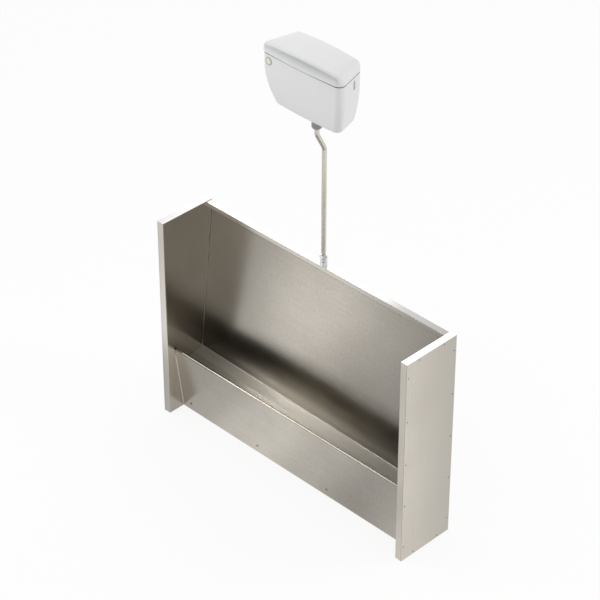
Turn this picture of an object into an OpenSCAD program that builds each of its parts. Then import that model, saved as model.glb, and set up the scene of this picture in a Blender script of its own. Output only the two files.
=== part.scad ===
// Stainless steel floor standing slab urinal with a trough, an automatic flushing cistern
// and the flush pipe that joins them. The front faces -Y and the wall plane is at +Y.

/* [Slab] */
// Width over the outer skins
slab_w = 1500; // [1200:50:2400]
// Height of the end panels
slab_h = 1050; // [900:10:1200]
// Depth from the wall to the front edge
slab_d = 300; // [280:5:400]
// Thickness of the stainless sheet
sheet = 1.5; // [1.2:0.1:2]
// Radius of a pressed fold, on its outer face
fold_r = 3; // [2.2:0.1:5]

/* [End panels] */
// Thickness of a boxed end panel
end_t = 36; // [25:1:60]
// Width of the lip that the outer skin lies on
end_lip = 24; // [18:1:40]
// Diameter of a rivet head
rivet_head_d = 6.5; // [5:0.5:9]
// Height of a rivet head
rivet_head_h = 1; // [0.6:0.1:1.6]
// Diameter of a rivet shank
rivet_d = 3.2; // [2.4:0.1:4]
// Distance of the rivets from the panel's edges
rivet_inset = 12; // [10:0.5:16]
// Height of the lowest rivet in an upright row
rivet_low_z = 75; // [50:5:150]
// Number of rivets in an upright row
rivet_rows = 5; // [3:1:7]
// Diameter of the wall fixing holes in the rear return
end_hole_d = 8; // [6:0.5:12]
// Height of the lowest wall fixing hole
end_hole_low_z = 150; // [100:10:300]

/* [Back panel and hood] */
// Drop of the hood's top below the end panels
hood_drop = 5; // [3:1:30]
// Depth of the hood from the wall
hood_d = 36; // [34:1:60]
// Height of the hood's front lip
hood_lip = 22; // [12:1:40]
// Gap between the panel's back and the wall at the top
panel_gap = 1.5; // [1:0.5:6]

/* [Trough] */
// Height of the fold between panel and trough at its high end
trough_z = 280; // [270:5:290]
// Distance of that fold from the wall
trough_back_d = 86; // [70:1:100]
// Angle of the trough's fall towards the outlet
trough_fall = 1; // [0.5:0.1:1.5]
// Distance from the wall to the crease in the trough's floor
crease_d = 137; // [120:1:150]
// Drop of the crease below the fold
crease_drop = 14; // [8:1:20]
// Slope of the floor from the crease to the front
floor_slope = 2.5; // [1:0.5:4]
// Height of the upstand that laps behind the back panel
upstand_h = 22; // [12:1:40]

/* [Apron] */
// Height of the apron
apron_h = 350; // [340:5:370]
// Distance from the wall to the apron's front edge
apron_top_d = 258; // [250:1:265]
// Distance from the wall to the apron's foot
apron_foot_d = 212; // [205:1:225]
// Width of the rounded top edge
nose_w = 14.5; // [12:0.5:18]
// Height of the return that hooks over the trough
nose_return = 22; // [14:1:40]
// Length of the relief notch at each end of the rounded edge
nose_notch = 5; // [2:0.5:10]
// Height of the apron screws
apron_screw_z = 40; // [30:1:60]
// Distance of the end screws from the end panels
apron_screw_inset = 56; // [30:1:120]
// Number of apron screws
apron_screws_n = 4; // [3:1:8]
// Diameter of an apron screw's head
apron_head_d = 12; // [9:0.5:14]
// Height of an apron screw's head
apron_head_h = 3.6; // [2:0.1:5]
// Diameter of an apron screw's shank
apron_shank_d = 5.5; // [4:0.5:6.5]

/* [Floor rail] */
// Width of the foot that lies on the floor
rail_foot = 32; // [20:1:50]
// Height of the leg behind the apron
rail_leg = 62; // [50:1:80]
// Diameter of the floor fixing holes
rail_hole_d = 7; // [5:0.5:9]

/* [Hanging rails] */
// Height of the ledge on the wall rail
wall_rail_z = 690; // [600:10:760]
// Height of the flange on the wall
wall_rail_h = 45; // [30:1:60]
// Width of the ledge
wall_rail_out = 16; // [14:1:20]
// Height of the hooks
hook_h = 16; // [10:1:25]
// Length of the rails
wall_rail_l = 1100; // [700:10:1150]
// Diameter of the wall rail's screw holes
wall_hole_d = 7; // [5:0.5:9]
// Number of the wall rail's screw holes
wall_holes_n = 4; // [3:1:6]

/* [Sparge pipe] */
// Outer diameter of the sparge pipe and the flush pipe
pipe_od = 22; // [18:1:25]
// Wall of both pipes
pipe_wall = 1.2; // [0.9:0.1:1.6]
// Distance of the pipes from the wall
pipe_d = 19; // [17:0.5:19]
// Drop of the sparge pipe below the hood's top
sparge_drop = 25; // [23:0.5:30]
// Gap between the sparge pipe's end plugs and the end panels
sparge_end_gap = 10; // [6:1:40]
// Diameter of a spray hole
spray_d = 2.5; // [1.5:0.5:4]
// Number of spray holes
spray_n = 25; // [11:2:41]
// Distance of the clips from the middle
clip_x = 450; // [200:10:500]
// Width of a clip
clip_w = 15; // [10:1:25]

/* [Inlet coupling] */
// Diameter of the spigot's thread, half inch pipe
spigot_d = 20.9; // [19:0.1:21.5]
// Bore of the spigot
spigot_bore = 15; // [12:0.5:16]
// Height of the spigot above the hood
spigot_h = 14; // [10:0.5:18]
// Width across the flats of the coupling's nuts
coupling_af = 34; // [33:0.5:38]
// Width across the flats of the coupling's body
body_af = 32; // [31:0.5:36]
// Height of the swivel nut
swivel_h = 21.5; // [20.5:0.5:23]
// Height of the body's hexagon
body_hex_h = 12; // [9:0.5:16]
// Height of the compression nut
comp_nut_h = 17; // [15:0.5:19]
// Height of the back nut under the hood
back_nut_h = 6; // [4:0.5:7]
// Width across the flats of that nut
back_nut_af = 26; // [25:0.5:27]

/* [Flush pipe] */
// Height of the lower bend of the swan neck
swan_z = 1632; // [1450:2:1640]
// Angle of the swan neck
swan_angle = 28; // [25:1:35]
// Radius of its bends
swan_r = 45; // [35:1:60]
// Diameter of the plastic nut under the cistern
flush_nut_d = 46; // [43:0.5:50]
// Height of that nut
flush_nut_h = 45; // [38:1:50]
// Rounding of its lower edge
flush_nut_round = 10; // [5:0.5:11]

/* [Cistern] */
// Height of the cistern's base above the floor
cistern_z = 1815; // [1780:5:2000]
// Width at the rim, over the front corners
cistern_w = 460; // [430:5:500]
// Width at the rim, over the rear corners
cistern_rear_w = 362; // [340:2:380]
// Depth at the rim, to the front corners
cistern_d = 162; // [155:1:180]
// Extra depth of the bowed front at the middle
cistern_bow = 8; // [4:1:12]
// Height from the base to the rim
cistern_h = 245; // [210:5:270]
// Height of the upright band below the rim
band_h = 66; // [62:1:70]
// Width of the base, over the front corners
base_w = 376; // [350:2:400]
// Depth of the base
base_d = 128; // [120:1:140]
// Radius of the front corners
corner_r = 28; // [20:1:34]
// Radius of the rear corners
rear_r = 10; // [6:1:16]
// Rounding of the base's edge
base_r = 14; // [8:1:20]
// Wall of the cistern
cistern_wall = 3; // [2.4:0.1:4]
// Diameter of the wall fixing holes
cistern_hole_d = 8; // [6:0.5:10]
// Distance between the wall fixing holes
cistern_hole_pitch = 240; // [150:10:260]
// Depth of the wall fixing holes below the rim
cistern_hole_drop = 40; // [25:1:50]
// Width of the oblong knock-out in the right side
slot_w = 17; // [12:1:20]
// Height of the knock-out
slot_h = 44; // [36:1:46]
// Depth of the knock-out's middle below the rim
slot_drop = 36; // [32:1:38]
// Distance of the knock-out from the wall
slot_d = 52; // [40:1:70]

/* [Lever hole plug] */
// Diameter of the plug's rim
plug_d = 37; // [30:1:40]
// Diameter of the plug's inner face
plug_face_d = 27; // [20:1:27]
// Height of the plug's rim
plug_h = 4; // [2.5:0.5:6]
// Diameter of the hole that the plug closes
plug_hole_d = 22; // [16:1:24]
// Distance of the plug from the cistern's left edge
plug_inset = 52; // [48:1:60]
// Depth of the plug's middle below the rim
plug_drop = 30; // [24:1:36]

/* [Cistern lid] */
// Height of the lid in the middle
lid_h = 60; // [50:1:75]
// Height of the lid at its ends
lid_end_h = 43; // [40:1:48]
// Rounding of the lid's ends
lid_round = 32; // [24:1:34]
// Rounding of the lid's front edge
lid_edge_r = 14; // [8:1:18]
// Overhang of the lid at the corners
lid_over = 2; // [1.5:0.5:4]
// Extra bow of the lid's front over the cistern's
lid_bow = 5; // [2:1:8]
// Height of the shadow groove under the lid
groove_h = 5.5; // [2.5:0.5:6]

/* [Siphon] */
// Distance of the siphon from the wall
siphon_d = 64; // [60:1:68]
// Diameter of the threaded tail
tail_d = 33; // [30:0.5:34]
// Bore of the tail and the stem
tail_bore = 23.2; // [23:0.1:24]
// Length of the tail below the cistern
tail_l = 50; // [45:1:70]
// Height of the stem above the cistern's base
stem_h = 130; // [110:1:140]
// Diameter of the stem's flange
stem_flange_d = 58; // [52:1:62]
// Outer diameter of the bell
bell_d = 84; // [76:1:90]
// Wall of the bell
bell_wall = 2.5; // [2:0.1:3]
// Height of the bell's open edge above the cistern's base
bell_low = 16; // [14:1:20]
// Height of the bell's crown above the cistern's base
bell_top = 160; // [155:1:175]
// Diameter of the vent tube
vent_d = 6; // [5:0.5:8]

/* [Petcock] */
// Diameter of the inlet thread, half inch pipe
inlet_d = 20.9; // [18:0.1:21.5]
// Bore of the inlet
inlet_bore = 13; // [9:0.5:14]
// Length of the inlet outside the cistern
inlet_l = 32; // [28:1:40]
// Distance of the petcock from the wall
petcock_d = 74; // [66:1:90]
// Depth of the petcock below the rim
petcock_drop = 38; // [34:1:44]
// Width across the flats of the petcock's hexagon
petcock_af = 27; // [25:0.5:30]
// Diameter of the petcock's upright barrel
barrel_d = 18; // [15:0.5:20]
// Diameter of the key's spindle
spindle_d = 9; // [7:0.5:10]
// Length of the key's handle
key_l = 30; // [22:1:36]

/* [Waste] */
// Distance of the waste from the right end panel
waste_inset = 74; // [60:1:200]
// Distance of the waste from the wall
waste_d = 178; // [176:1:184]
// Diameter of the waste flange
waste_flange_d = 80; // [70:1:82]
// Diameter of the waste's thread, one and a half inch pipe
waste_thread_d = 47.8; // [44:0.1:50]
// Bore of the waste
waste_bore = 40; // [34:1:42]
// Length of the waste's tail below the trough
waste_l = 72; // [50:1:90]
// Diameter of the strainer
strainer_d = 72; // [60:1:74]
// Height of the strainer's dome
strainer_h = 20; // [14:1:26]
// Number of slots in the strainer
strainer_slots = 8; // [6:1:10]

/* [Hidden] */
$fn = 64;

// General clearances
over = 20;      // overrun of a cut past the piece
fit = 0.05;     // radial fit of a pin in its hole
seat = 0.3;     // gap at a seat between loose pieces
skim = 0.2;     // small step that keeps two faces apart
hole_gap = 0.5; // radial gap of a clearance hole
chamfer = 1.2;  // chamfer of a nut's corners
fold_steps = 6; // flats that follow a fold's arc

// Colours
steel_colour = "#b9b1a3";
dull_steel_colour = "#a8a295";
chrome_colour = "#e2e3e6";
brass_colour = "#c9a24b";
white_colour = "#e3e6e5";
ivory_colour = "#ece5c8";
grey_colour = "#7d7d7d";
rubber_colour = "#2d2c2b";
rivet_colour = "#8f959b";

// Places that follow from the slab
bay = slab_w / 2 - end_t;
hood_z = slab_h - hood_drop;
function from_wall(d) = slab_d / 2 - d;

// Direction of the back panel, from the fold up to the hood
panel_run = trough_back_d - sheet - panel_gap;
panel_rise = hood_z - trough_z;
panel_lean = atan(panel_run / panel_rise);
// Distance of the panel's front face from the wall at a height
function panel_face_d(z) = panel_gap + (hood_z - z) * panel_run / panel_rise + sheet / cos(panel_lean);

// Direction of the apron, from the floor up, and inwards from its front face
apron_lean = atan((apron_top_d - apron_foot_d) / apron_h);
apron_len = apron_h / cos(apron_lean);
nose_across = nose_w * cos(apron_lean);
function apron_point(up, in) = [
    from_wall(apron_foot_d) - up * sin(apron_lean) + in * cos(apron_lean),
    up * cos(apron_lean) + in * sin(apron_lean)
];

// Trough floor
full_turn = 360;
rear_slope = atan(crease_drop / (crease_d - trough_back_d));
floor_rise_share = tan(floor_slope);
trough_len = 2 * bay / cos(trough_fall);

nose_round_share = 0.98;
rivet_tail_share = 0.75;

// Waste
waste_x = bay - waste_inset;
recess_edge = 3;
recess_step = 2;
recess_r = waste_flange_d / 2 + recess_edge;
gasket_t = 2;
waste_flange_t = 3;
function fold_line_z(x) = trough_z - (x + bay) * tan(trough_fall);
function floor_z(x, d) = fold_line_z(x) - crease_drop - (d - crease_d) * floor_rise_share;
recess_z = floor_z(waste_x + recess_r, waste_d + recess_r) - recess_step;

// Coupling, from the hood upwards
swivel_collar = 2.5;
washer_t = 2;
flange_t = swivel_h - swivel_collar - spigot_h - washer_t;
body_z = hood_z + swivel_h + hole_gap;
barrel_h = 15;
barrel_z = body_z + body_hex_h;
olive_h = 4;
comp_nut_top = barrel_z + barrel_h + olive_h + seat + swivel_collar;
pipe_stop_z = body_z + swivel_collar;
flush_r = pipe_od / 2;

// Siphon tail and flush pipe's upper end
tail_z = cistern_z - tail_l;
flush_nut_floor = 4;
cone_h = 14;
flush_nut_z = tail_z - cone_h - flush_nut_floor;
pipe_entry = 30;
pipe_top_z = tail_z + pipe_entry;
swan_shift = siphon_d - pipe_d;
swan_cut = swan_r * tan(swan_angle / 2);
swan_slope = swan_shift / sin(swan_angle) - 2 * swan_cut;

// Cistern shape
bulge_power = 1.7;
bow_share = 0.62;
corner_steps = 8;
rear_steps = 4;
bow_steps = 10;
taper_h = cistern_h - band_h;
taper_bands = 6;
round_bands = 4;
rim_w = 10;
ring_inset = 3.2;
ring_w = 3;
upstand_w = 2;
rim_upstand = 8;
side_angle = atan((cistern_w - cistern_rear_w) / 2 / cistern_d);
front_angle = atan(cistern_bow / (cistern_w / 2));

function unit(v) = v / norm(v);
function left_of(v) = [-v[1], v[0]];
function turned(v, a) = [v[0] * cos(a) - v[1] * sin(a), v[0] * sin(a) + v[1] * cos(a)];
function turn(a, b) = atan2(a[0] * b[1] - a[1] * b[0], a[0] * b[0] + a[1] * b[1]);

// Arc of radius r in the corner b of the path a, b, c, moved sideways by off to the left
function corner_arc(a, b, c, r, off, steps) =
    let (
        before = unit(b - a),
        after = unit(c - b),
        angle = turn(before, after),
        way = sign(angle),
        centre = b - before * r * tan(abs(angle) / 2) + left_of(before) * way * r
    )
    [for (k = [0 : steps]) centre - left_of(turned(before, angle * k / steps)) * way * (r - way * off)];

// One face of a folded sheet: the path with its folds rounded, moved sideways by off
function folded_line(path, radii, off) = concat(
    [path[0] + left_of(unit(path[1] - path[0])) * off],
    [for (i = [1 : len(path) - 2]) each
        corner_arc(path[i - 1], path[i], path[i + 1], radii[i - 1], off, fold_steps)],
    [path[len(path) - 1] + left_of(unit(path[len(path) - 1] - path[len(path) - 2])) * off]
);

function reversed(list) = [for (i = [len(list) - 1 : -1 : 0]) list[i]];

// Section of a folded sheet between two sideways offsets of one path
module folded_section(path, radii, off_a, off_b) {
    polygon(concat(folded_line(path, radii, off_a), reversed(folded_line(path, radii, off_b))));
}

// A section drawn in (y, z), carried along X
module along_x(x0, x1) {
    translate([x0, 0, 0])
        rotate([90, 0, 90])
            linear_extrude(x1 - x0)
                children();
}

// Closed outline with a radius and a number of steps at each corner
function rounded_outline(points, radii, steps) = [
    for (i = [0 : len(points) - 1]) each
        let (n = len(points))
        corner_arc(points[(i + n - 1) % n], points[i], points[(i + 1) % n], radii[i], 0, steps[i])
];

// Rectangle with rounded corners, as an outline
function rounded_rect(low, high, r) = rounded_outline(
    [low, [high[0], low[1]], high, [low[0], high[1]]],
    [r, r, r, r],
    [fold_steps, fold_steps, fold_steps, fold_steps]
);

// Hexagon with chamfered corners, standing on z = 0
module hex_body(af, h) {
    r = af / 2 / cos(30);
    intersection() {
        cylinder(h = h, r = r, $fn = 6);
        rotate_extrude()
            polygon([[0, 0], [r - chamfer, 0], [r, chamfer], [r, h - chamfer], [r - chamfer, h], [0, h]]);
    }
}

// Plain tube standing on z = 0
module tube(r_out, r_in, h) {
    difference() {
        cylinder(h = h, r = r_out);
        translate([0, 0, -over])
            cylinder(h = h + 2 * over, r = r_in);
    }
}

// Back panel: hood lip, hood top and leaning panel are one folded sheet
panel_rear_path = [
    [from_wall(hood_d), hood_z - hood_lip],
    [from_wall(hood_d), hood_z],
    [from_wall(panel_gap), hood_z],
    [from_wall(trough_back_d - sheet) - over * sin(panel_lean), trough_z - over * cos(panel_lean)]
];

// Lines of the trough's floor in its own tilted frame, seen from the left end panel
module on_fall() {
    translate([-bay, 0, trough_z])
        rotate([0, trough_fall, 0])
            children();
}

module along_fall() {
    on_fall()
        along_x(-over, trough_len + over)
            children();
}

floor_rear = [from_wall(trough_back_d - over), over * tan(rear_slope)];
floor_crease = [from_wall(crease_d), -crease_drop];
floor_front = [from_wall(apron_top_d + over),
    -crease_drop - (apron_top_d + over - crease_d) * floor_rise_share];
floor_path = [floor_rear, floor_crease, floor_front];
floor_radii = [fold_r * 2];
trough_depth = apron_h;

// Everything under the trough's floor, from a sideways offset of its upper face down
module under_floor(off) {
    along_fall()
        polygon(concat(
            folded_line(floor_path, floor_radii, off),
            [floor_front - [0, trough_depth], floor_rear - [0, trough_depth]]
        ));
}

// Upright strips of the trough: the upstand behind the panel and the wall behind the apron's return
module upstand_strip() {
    along_x(-bay, bay)
        folded_section(
            [panel_rear_path[2], panel_rear_path[3] - [over * sin(panel_lean), over]], [], 0, sheet);
}

module front_strip() {
    top = apron_len - nose_across;
    back = nose_across - sheet - seat;
    along_x(-bay, bay)
        polygon([
            apron_point(0, back), apron_point(top, back),
            apron_point(top, back - sheet), apron_point(0, back - sheet)
        ]);
}

// Room between the outer faces of the two strips
module between_strips() {
    along_x(-bay, bay)
        polygon([
            panel_rear_path[3] - [over * sin(panel_lean), over]
                + left_of(unit(panel_rear_path[3] - panel_rear_path[2])) * sheet,
            panel_rear_path[2] + left_of(unit(panel_rear_path[3] - panel_rear_path[2])) * sheet,
            apron_point(apron_len * 2, nose_across - 2 * sheet - seat),
            apron_point(0, nose_across - 2 * sheet - seat)
        ]);
}

// Pressed cup that takes the waste flange
module waste_cup(r, z) {
    translate([waste_x, from_wall(waste_d), z])
        cylinder(h = trough_depth, r = r);
}

module trough() {
    color(dull_steel_colour)
    difference() {
        union() {
            difference() {
                intersection() {
                    under_floor(0);
                    between_strips();
                }
                under_floor(sheet);
                waste_cup(recess_r, recess_z);
            }
            difference() {
                upstand_strip();
                under_floor(sheet);
                on_fall()
                    translate([-over, from_wall(slab_d), upstand_h])
                        cube([trough_len + 2 * over, slab_d, slab_h]);
            }
            difference() {
                front_strip();
                under_floor(sheet);
            }
            difference() {
                intersection() {
                    waste_cup(recess_r + sheet, recess_z - sheet);
                    under_floor(0);
                }
                waste_cup(recess_r, recess_z);
            }
        }
        translate([waste_x, from_wall(waste_d), 0])
            cylinder(h = slab_h, r = waste_thread_d / 2 + hole_gap);
    }
}

module back_panel() {
    color(steel_colour)
    difference() {
        along_x(-bay, bay)
            folded_section(panel_rear_path, [fold_r, fold_r], 0, -sheet);
        under_floor(-skim);
        translate([0, from_wall(pipe_d), hood_z - over])
            cylinder(h = 2 * over, r = spigot_d / 2 + hole_gap);
    }
}

module apron() {
    top = apron_point(apron_len, 0);
    back = top + [nose_w, 0];
    nose_r = nose_across / 2 * nose_round_share;
    front_path = [
        apron_point(0, 0),
        top,
        back,
        back - (apron_point(nose_return, 0) - apron_point(0, 0))
    ];
    color(steel_colour)
    difference() {
        along_x(-bay, bay)
            folded_section(front_path, [nose_r, nose_r], 0, -sheet);
        for (side = [-1, 1])
            translate([side * bay - nose_notch, from_wall(apron_top_d + over), apron_h - nose_across / 2])
                cube([2 * nose_notch, nose_w + over - sheet, nose_w]);
        for (x = apron_screw_places)
            on_apron(x, apron_screw_up)
                translate([0, 0, -over])
                    cylinder(h = 2 * over, r = apron_shank_d / 2 + fit);
    }
}

// Frame on the apron's front face, with local z pointing out to the front
module on_apron(x, up) {
    translate([x, from_wall(apron_foot_d), 0])
        rotate([90 + apron_lean, 0, 0])
            translate([0, up, 0])
                children();
}

apron_screw_up = apron_screw_z / cos(apron_lean);
apron_screw_reach = bay - apron_screw_inset;
apron_screw_places = [
    for (i = [0 : apron_screws_n - 1]) -apron_screw_reach + 2 * apron_screw_reach * i / (apron_screws_n - 1)
];

module apron_screws() {
    head_edge = apron_head_h / 3;
    shank_l = 4 * sheet;
    color(chrome_colour)
    for (x = apron_screw_places)
        on_apron(x, apron_screw_up)
            rotate_extrude()
                polygon([
                    [0, -shank_l],
                    [apron_shank_d / 2, -shank_l],
                    [apron_shank_d / 2, 0],
                    [apron_head_d / 2, 0],
                    [apron_head_d / 2, head_edge],
                    [apron_head_d / 2 - head_edge, apron_head_h],
                    [0, apron_head_h]
                ]);
}

// Bent angle: its foot lies on the floor and its leg stands against the apron's back. The foot is
// cut away under the waste
module floor_rail() {
    corner = [from_wall(apron_foot_d) + (sheet + seat) / cos(apron_lean), 0];
    leg = apron_point(rail_leg, sheet + seat);
    foot = [corner[0] + rail_foot, 0];
    clear = end_lip;
    color(dull_steel_colour)
    difference() {
        along_x(-bay + clear, bay - clear)
            folded_section([leg, corner, foot], [fold_r], 0, sheet);
        for (x = apron_screw_places)
            on_apron(x, apron_screw_up)
                translate([0, 0, -over])
                    cylinder(h = over, r = apron_shank_d / 2 + fit);
        for (side = [-1, 0, 1])
            translate([side * bay / 2, corner[0] + rail_foot / 2 + fold_r, -over])
                cylinder(h = 2 * over, r = rail_hole_d / 2);
        translate([waste_x - recess_r, corner[0] + sheet + skim, -over])
            cube([2 * recess_r, rail_foot, 2 * over]);
    }
}

// Boxed end tray, drawn for the right end: an open shell with lips for the outer skin
end_holes = [end_hole_low_z, slab_h / 2, slab_h - end_hole_low_z];

module end_tray() {
    x_in = bay;
    x_lip = slab_w / 2 - sheet;
    difference() {
        intersection() {
            linear_extrude(slab_h)
                polygon(rounded_rect([x_in, -slab_d / 2], [x_lip + over, slab_d / 2], fold_r));
            translate([0, slab_d / 2, 0])
                rotate([90, 0, 0])
                    linear_extrude(slab_d)
                        polygon(rounded_rect([x_in, 0], [x_lip + over, slab_h], fold_r));
            translate([x_in, -slab_d / 2, 0])
                cube([x_lip - x_in, slab_d, slab_h]);
        }
        translate([x_in + sheet, -slab_d / 2 + sheet, sheet])
            cube([x_lip - x_in - 2 * sheet, slab_d - 2 * sheet, slab_h - 2 * sheet]);
        translate([x_in + sheet, -slab_d / 2 + end_lip, end_lip])
            cube([end_t, slab_d - 2 * end_lip, slab_h - 2 * end_lip]);
        for (place = rivet_places)
            translate([x_lip - over / 2, place[0], place[1]])
                rotate([0, 90, 0])
                    cylinder(h = over, r = rivet_d / 2 + fit);
        for (z = end_holes)
            translate([(x_in + x_lip) / 2, slab_d / 2 + over, z])
                rotate([90, 0, 0])
                    cylinder(h = 2 * over, r = end_hole_d / 2);
    }
}

// Rivets: two upright rows and two in each short edge, as (y, z)
rivet_places = concat(
    [for (y = [-1, 1], i = [0 : rivet_rows - 1])
        [y * (slab_d / 2 - rivet_inset),
            rivet_low_z + (slab_h - 2 * rivet_low_z) * i / (rivet_rows - 1)]],
    [for (y = [-1, 1], z = [rivet_inset, slab_h - rivet_inset]) [y * slab_d / 4, z]]
);

module end_skin() {
    difference() {
        translate([slab_w / 2 - sheet, -slab_d / 2, 0])
            cube([sheet, slab_d, slab_h]);
        for (place = rivet_places)
            translate([slab_w / 2 - over / 2, place[0], place[1]])
                rotate([0, 90, 0])
                    cylinder(h = over, r = rivet_d / 2 + fit);
    }
}

module end_rivets() {
    tail_r = rivet_d * rivet_tail_share;
    for (place = rivet_places)
        translate([slab_w / 2, place[0], place[1]])
            rotate([0, 90, 0])
                rotate_extrude($fn = 24)
                    polygon(concat(
                        [[0, -2 * sheet - rivet_d / 2], [tail_r, -2 * sheet - rivet_d / 2],
                            [tail_r, -2 * sheet],
                            [rivet_d / 2, -2 * sheet], [rivet_d / 2, 0]],
                        [for (k = [0 : fold_steps])
                            [rivet_head_d / 2 * cos(90 * k / fold_steps),
                                rivet_head_h * sin(90 * k / fold_steps)]]
                    ));
}

module right_inner_panel() { color(steel_colour) end_tray(); }
module left_inner_panel() { color(steel_colour) mirror([1, 0, 0]) end_tray(); }
module right_outer_skin() { color(steel_colour) end_skin(); }
module left_outer_skin() { color(steel_colour) mirror([1, 0, 0]) end_skin(); }
module right_skin_rivets() { color(rivet_colour) end_rivets(); }
module left_skin_rivets() { color(rivet_colour) mirror([1, 0, 0]) end_rivets(); }

// Rail on the wall: flange, ledge and a hook that points up
wall_hole_pitch = wall_rail_l / wall_holes_n;
hook_gap = 1;

module wall_rail() {
    color(dull_steel_colour)
    difference() {
        along_x(-wall_rail_l / 2, wall_rail_l / 2)
            folded_section([
                [from_wall(0), wall_rail_z - wall_rail_h],
                [from_wall(0), wall_rail_z],
                [from_wall(wall_rail_out), wall_rail_z],
                [from_wall(wall_rail_out), wall_rail_z + hook_h]
            ], [fold_r, fold_r - sheet], 0, sheet);
        for (i = [0 : wall_holes_n - 1])
            translate([(i - (wall_holes_n - 1) / 2) * wall_hole_pitch, from_wall(-over),
                wall_rail_z - wall_rail_h / 2])
                rotate([90, 0, 0])
                    cylinder(h = 2 * over, r = wall_hole_d / 2);
    }
}

// Rail on the panel's back: its hook points down behind the wall rail's hook
module hanging_rail() {
    shelf_z = wall_rail_z + hook_h + sheet + seat;
    rear_d = panel_face_d(shelf_z) - sheet / cos(panel_lean);
    flange_foot = [
        from_wall(rear_d) - wall_rail_h * sin(panel_lean),
        shelf_z - wall_rail_h * cos(panel_lean)
    ];
    hook_d = wall_rail_out - sheet - hook_gap;
    color(dull_steel_colour)
    along_x(-wall_rail_l / 2, wall_rail_l / 2)
        folded_section([
            [from_wall(hook_d), shelf_z - hook_h + sheet],
            [from_wall(hook_d), shelf_z],
            [from_wall(rear_d), shelf_z],
            flange_foot
        ], [fold_r, fold_r], 0, sheet);
}

// Sparge pipe: a drilled tube under the hood with a threaded spigot that stands up through it
sparge_z = hood_z - sparge_drop;
plug_flange = 2;
plug_depth = 10;
sparge_half = bay - sparge_end_gap - plug_flange;
spray_reach_share = 0.96;

module on_sparge() {
    translate([0, from_wall(pipe_d), sparge_z])
        children();
}

module round_bar(x0, x1, r) {
    translate([x0, 0, 0])
        rotate([0, 90, 0])
            cylinder(h = x1 - x0, r = r);
}

module sparge_pipe() {
    color(steel_colour)
    on_sparge()
        difference() {
            union() {
                round_bar(-sparge_half, sparge_half, pipe_od / 2);
                translate([0, 0, pipe_od / 4])
                    cylinder(h = sparge_drop + spigot_h - pipe_od / 4, r = spigot_d / 2);
            }
            round_bar(-sparge_half - over, sparge_half + over, pipe_od / 2 - pipe_wall);
            cylinder(h = sparge_drop + spigot_h + over, r = spigot_bore / 2);
            for (i = [0 : spray_n - 1])
                translate([sparge_half * spray_reach_share * (2 * i / (spray_n - 1) - 1), 0, 0])
                    rotate([-135, 0, 0])
                        cylinder(h = pipe_od, r = spray_d / 2, $fn = 16);
        }
}

module sparge_end_plugs() {
    color(chrome_colour)
    on_sparge()
        for (side = [0, 1])
            mirror([side, 0, 0]) {
                round_bar(sparge_half, sparge_half + plug_flange, pipe_od / 2);
                round_bar(sparge_half - plug_depth, sparge_half, pipe_od / 2 - pipe_wall - fit);
            }
}

module sparge_clips() {
    color(steel_colour)
    on_sparge()
        for (x = [-clip_x, clip_x])
            difference() {
                union() {
                    round_bar(x - clip_w / 2, x + clip_w / 2, pipe_od / 2 + pipe_wall);
                    translate([x - clip_w / 2, -sheet / 2, 0])
                        cube([clip_w, sheet, sparge_drop - sheet]);
                }
                round_bar(x - clip_w, x + clip_w, pipe_od / 2 + fit);
            }
}

module on_inlet(z) {
    translate([0, from_wall(pipe_d), z])
        children();
}

module inlet_back_nut() {
    color(brass_colour)
    on_inlet(hood_z - sheet - back_nut_h)
        difference() {
            hex_body(back_nut_af, back_nut_h);
            translate([0, 0, -over])
                cylinder(h = 2 * over, r = spigot_d / 2 + fit);
        }
}

module inlet_washer() {
    color(rubber_colour)
    on_inlet(hood_z + spigot_h)
        tube(spigot_d / 2 - fit, spigot_bore / 2, washer_t);
}

// Swivel nut: it pulls the coupling body's flange down onto the spigot's end
module swivel_nut() {
    color(chrome_colour)
    on_inlet(hood_z)
        difference() {
            hex_body(coupling_af, swivel_h);
            translate([0, 0, -over])
                cylinder(h = over + swivel_h - swivel_collar, r = spigot_d / 2 + fit);
            cylinder(h = swivel_h + over, r = neck_r + fit);
        }
}

neck_wall = 1.2;
neck_r = spigot_bore / 2 + neck_wall;

module coupling_body() {
    flange_z = hood_z + spigot_h + washer_t;
    barrel_r = pipe_od / 2 + barrel_wall;
    color(chrome_colour)
    difference() {
        union() {
            on_inlet(flange_z)
                cylinder(h = flange_t - fit, r = spigot_d / 2 - fit);
            on_inlet(flange_z)
                cylinder(h = body_z - flange_z + chamfer, r = neck_r);
            on_inlet(body_z)
                hex_body(body_af, body_hex_h);
            on_inlet(barrel_z - chamfer)
                cylinder(h = barrel_h + chamfer, r = barrel_r);
        }
        on_inlet(flange_z - over)
            cylinder(h = slab_h, r = spigot_bore / 2);
        on_inlet(pipe_stop_z)
            cylinder(h = slab_h, r = flush_r + fit);
    }
}

barrel_wall = 3;

module compression_olive() {
    color(brass_colour)
    on_inlet(barrel_z + barrel_h)
        difference() {
            rotate_extrude()
                polygon([
                    [0, 0], [flush_r + olive_t, 0], [flush_r + 2 * olive_t, olive_h / 2],
                    [flush_r + olive_t, olive_h], [0, olive_h]
                ]);
            translate([0, 0, -over])
                cylinder(h = 2 * over, r = flush_r + fit);
        }
}

olive_t = 0.8;

module compression_nut() {
    color(chrome_colour)
    on_inlet(comp_nut_top - comp_nut_h)
        difference() {
            hex_body(coupling_af, comp_nut_h);
            translate([0, 0, -over])
                cylinder(h = over + comp_nut_h - swivel_collar, r = pipe_od / 2 + barrel_wall + fit);
            cylinder(h = comp_nut_h + over, r = flush_r + hole_gap / 2);
        }
}

// Flush pipe: straight up the wall, then a swan neck out to the cistern's tail. The bends are
// drawn a little thinner than the straights, as bent tube is, and lap into them
bend_thin = 0.05;
bend_lap = 1.2;

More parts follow.
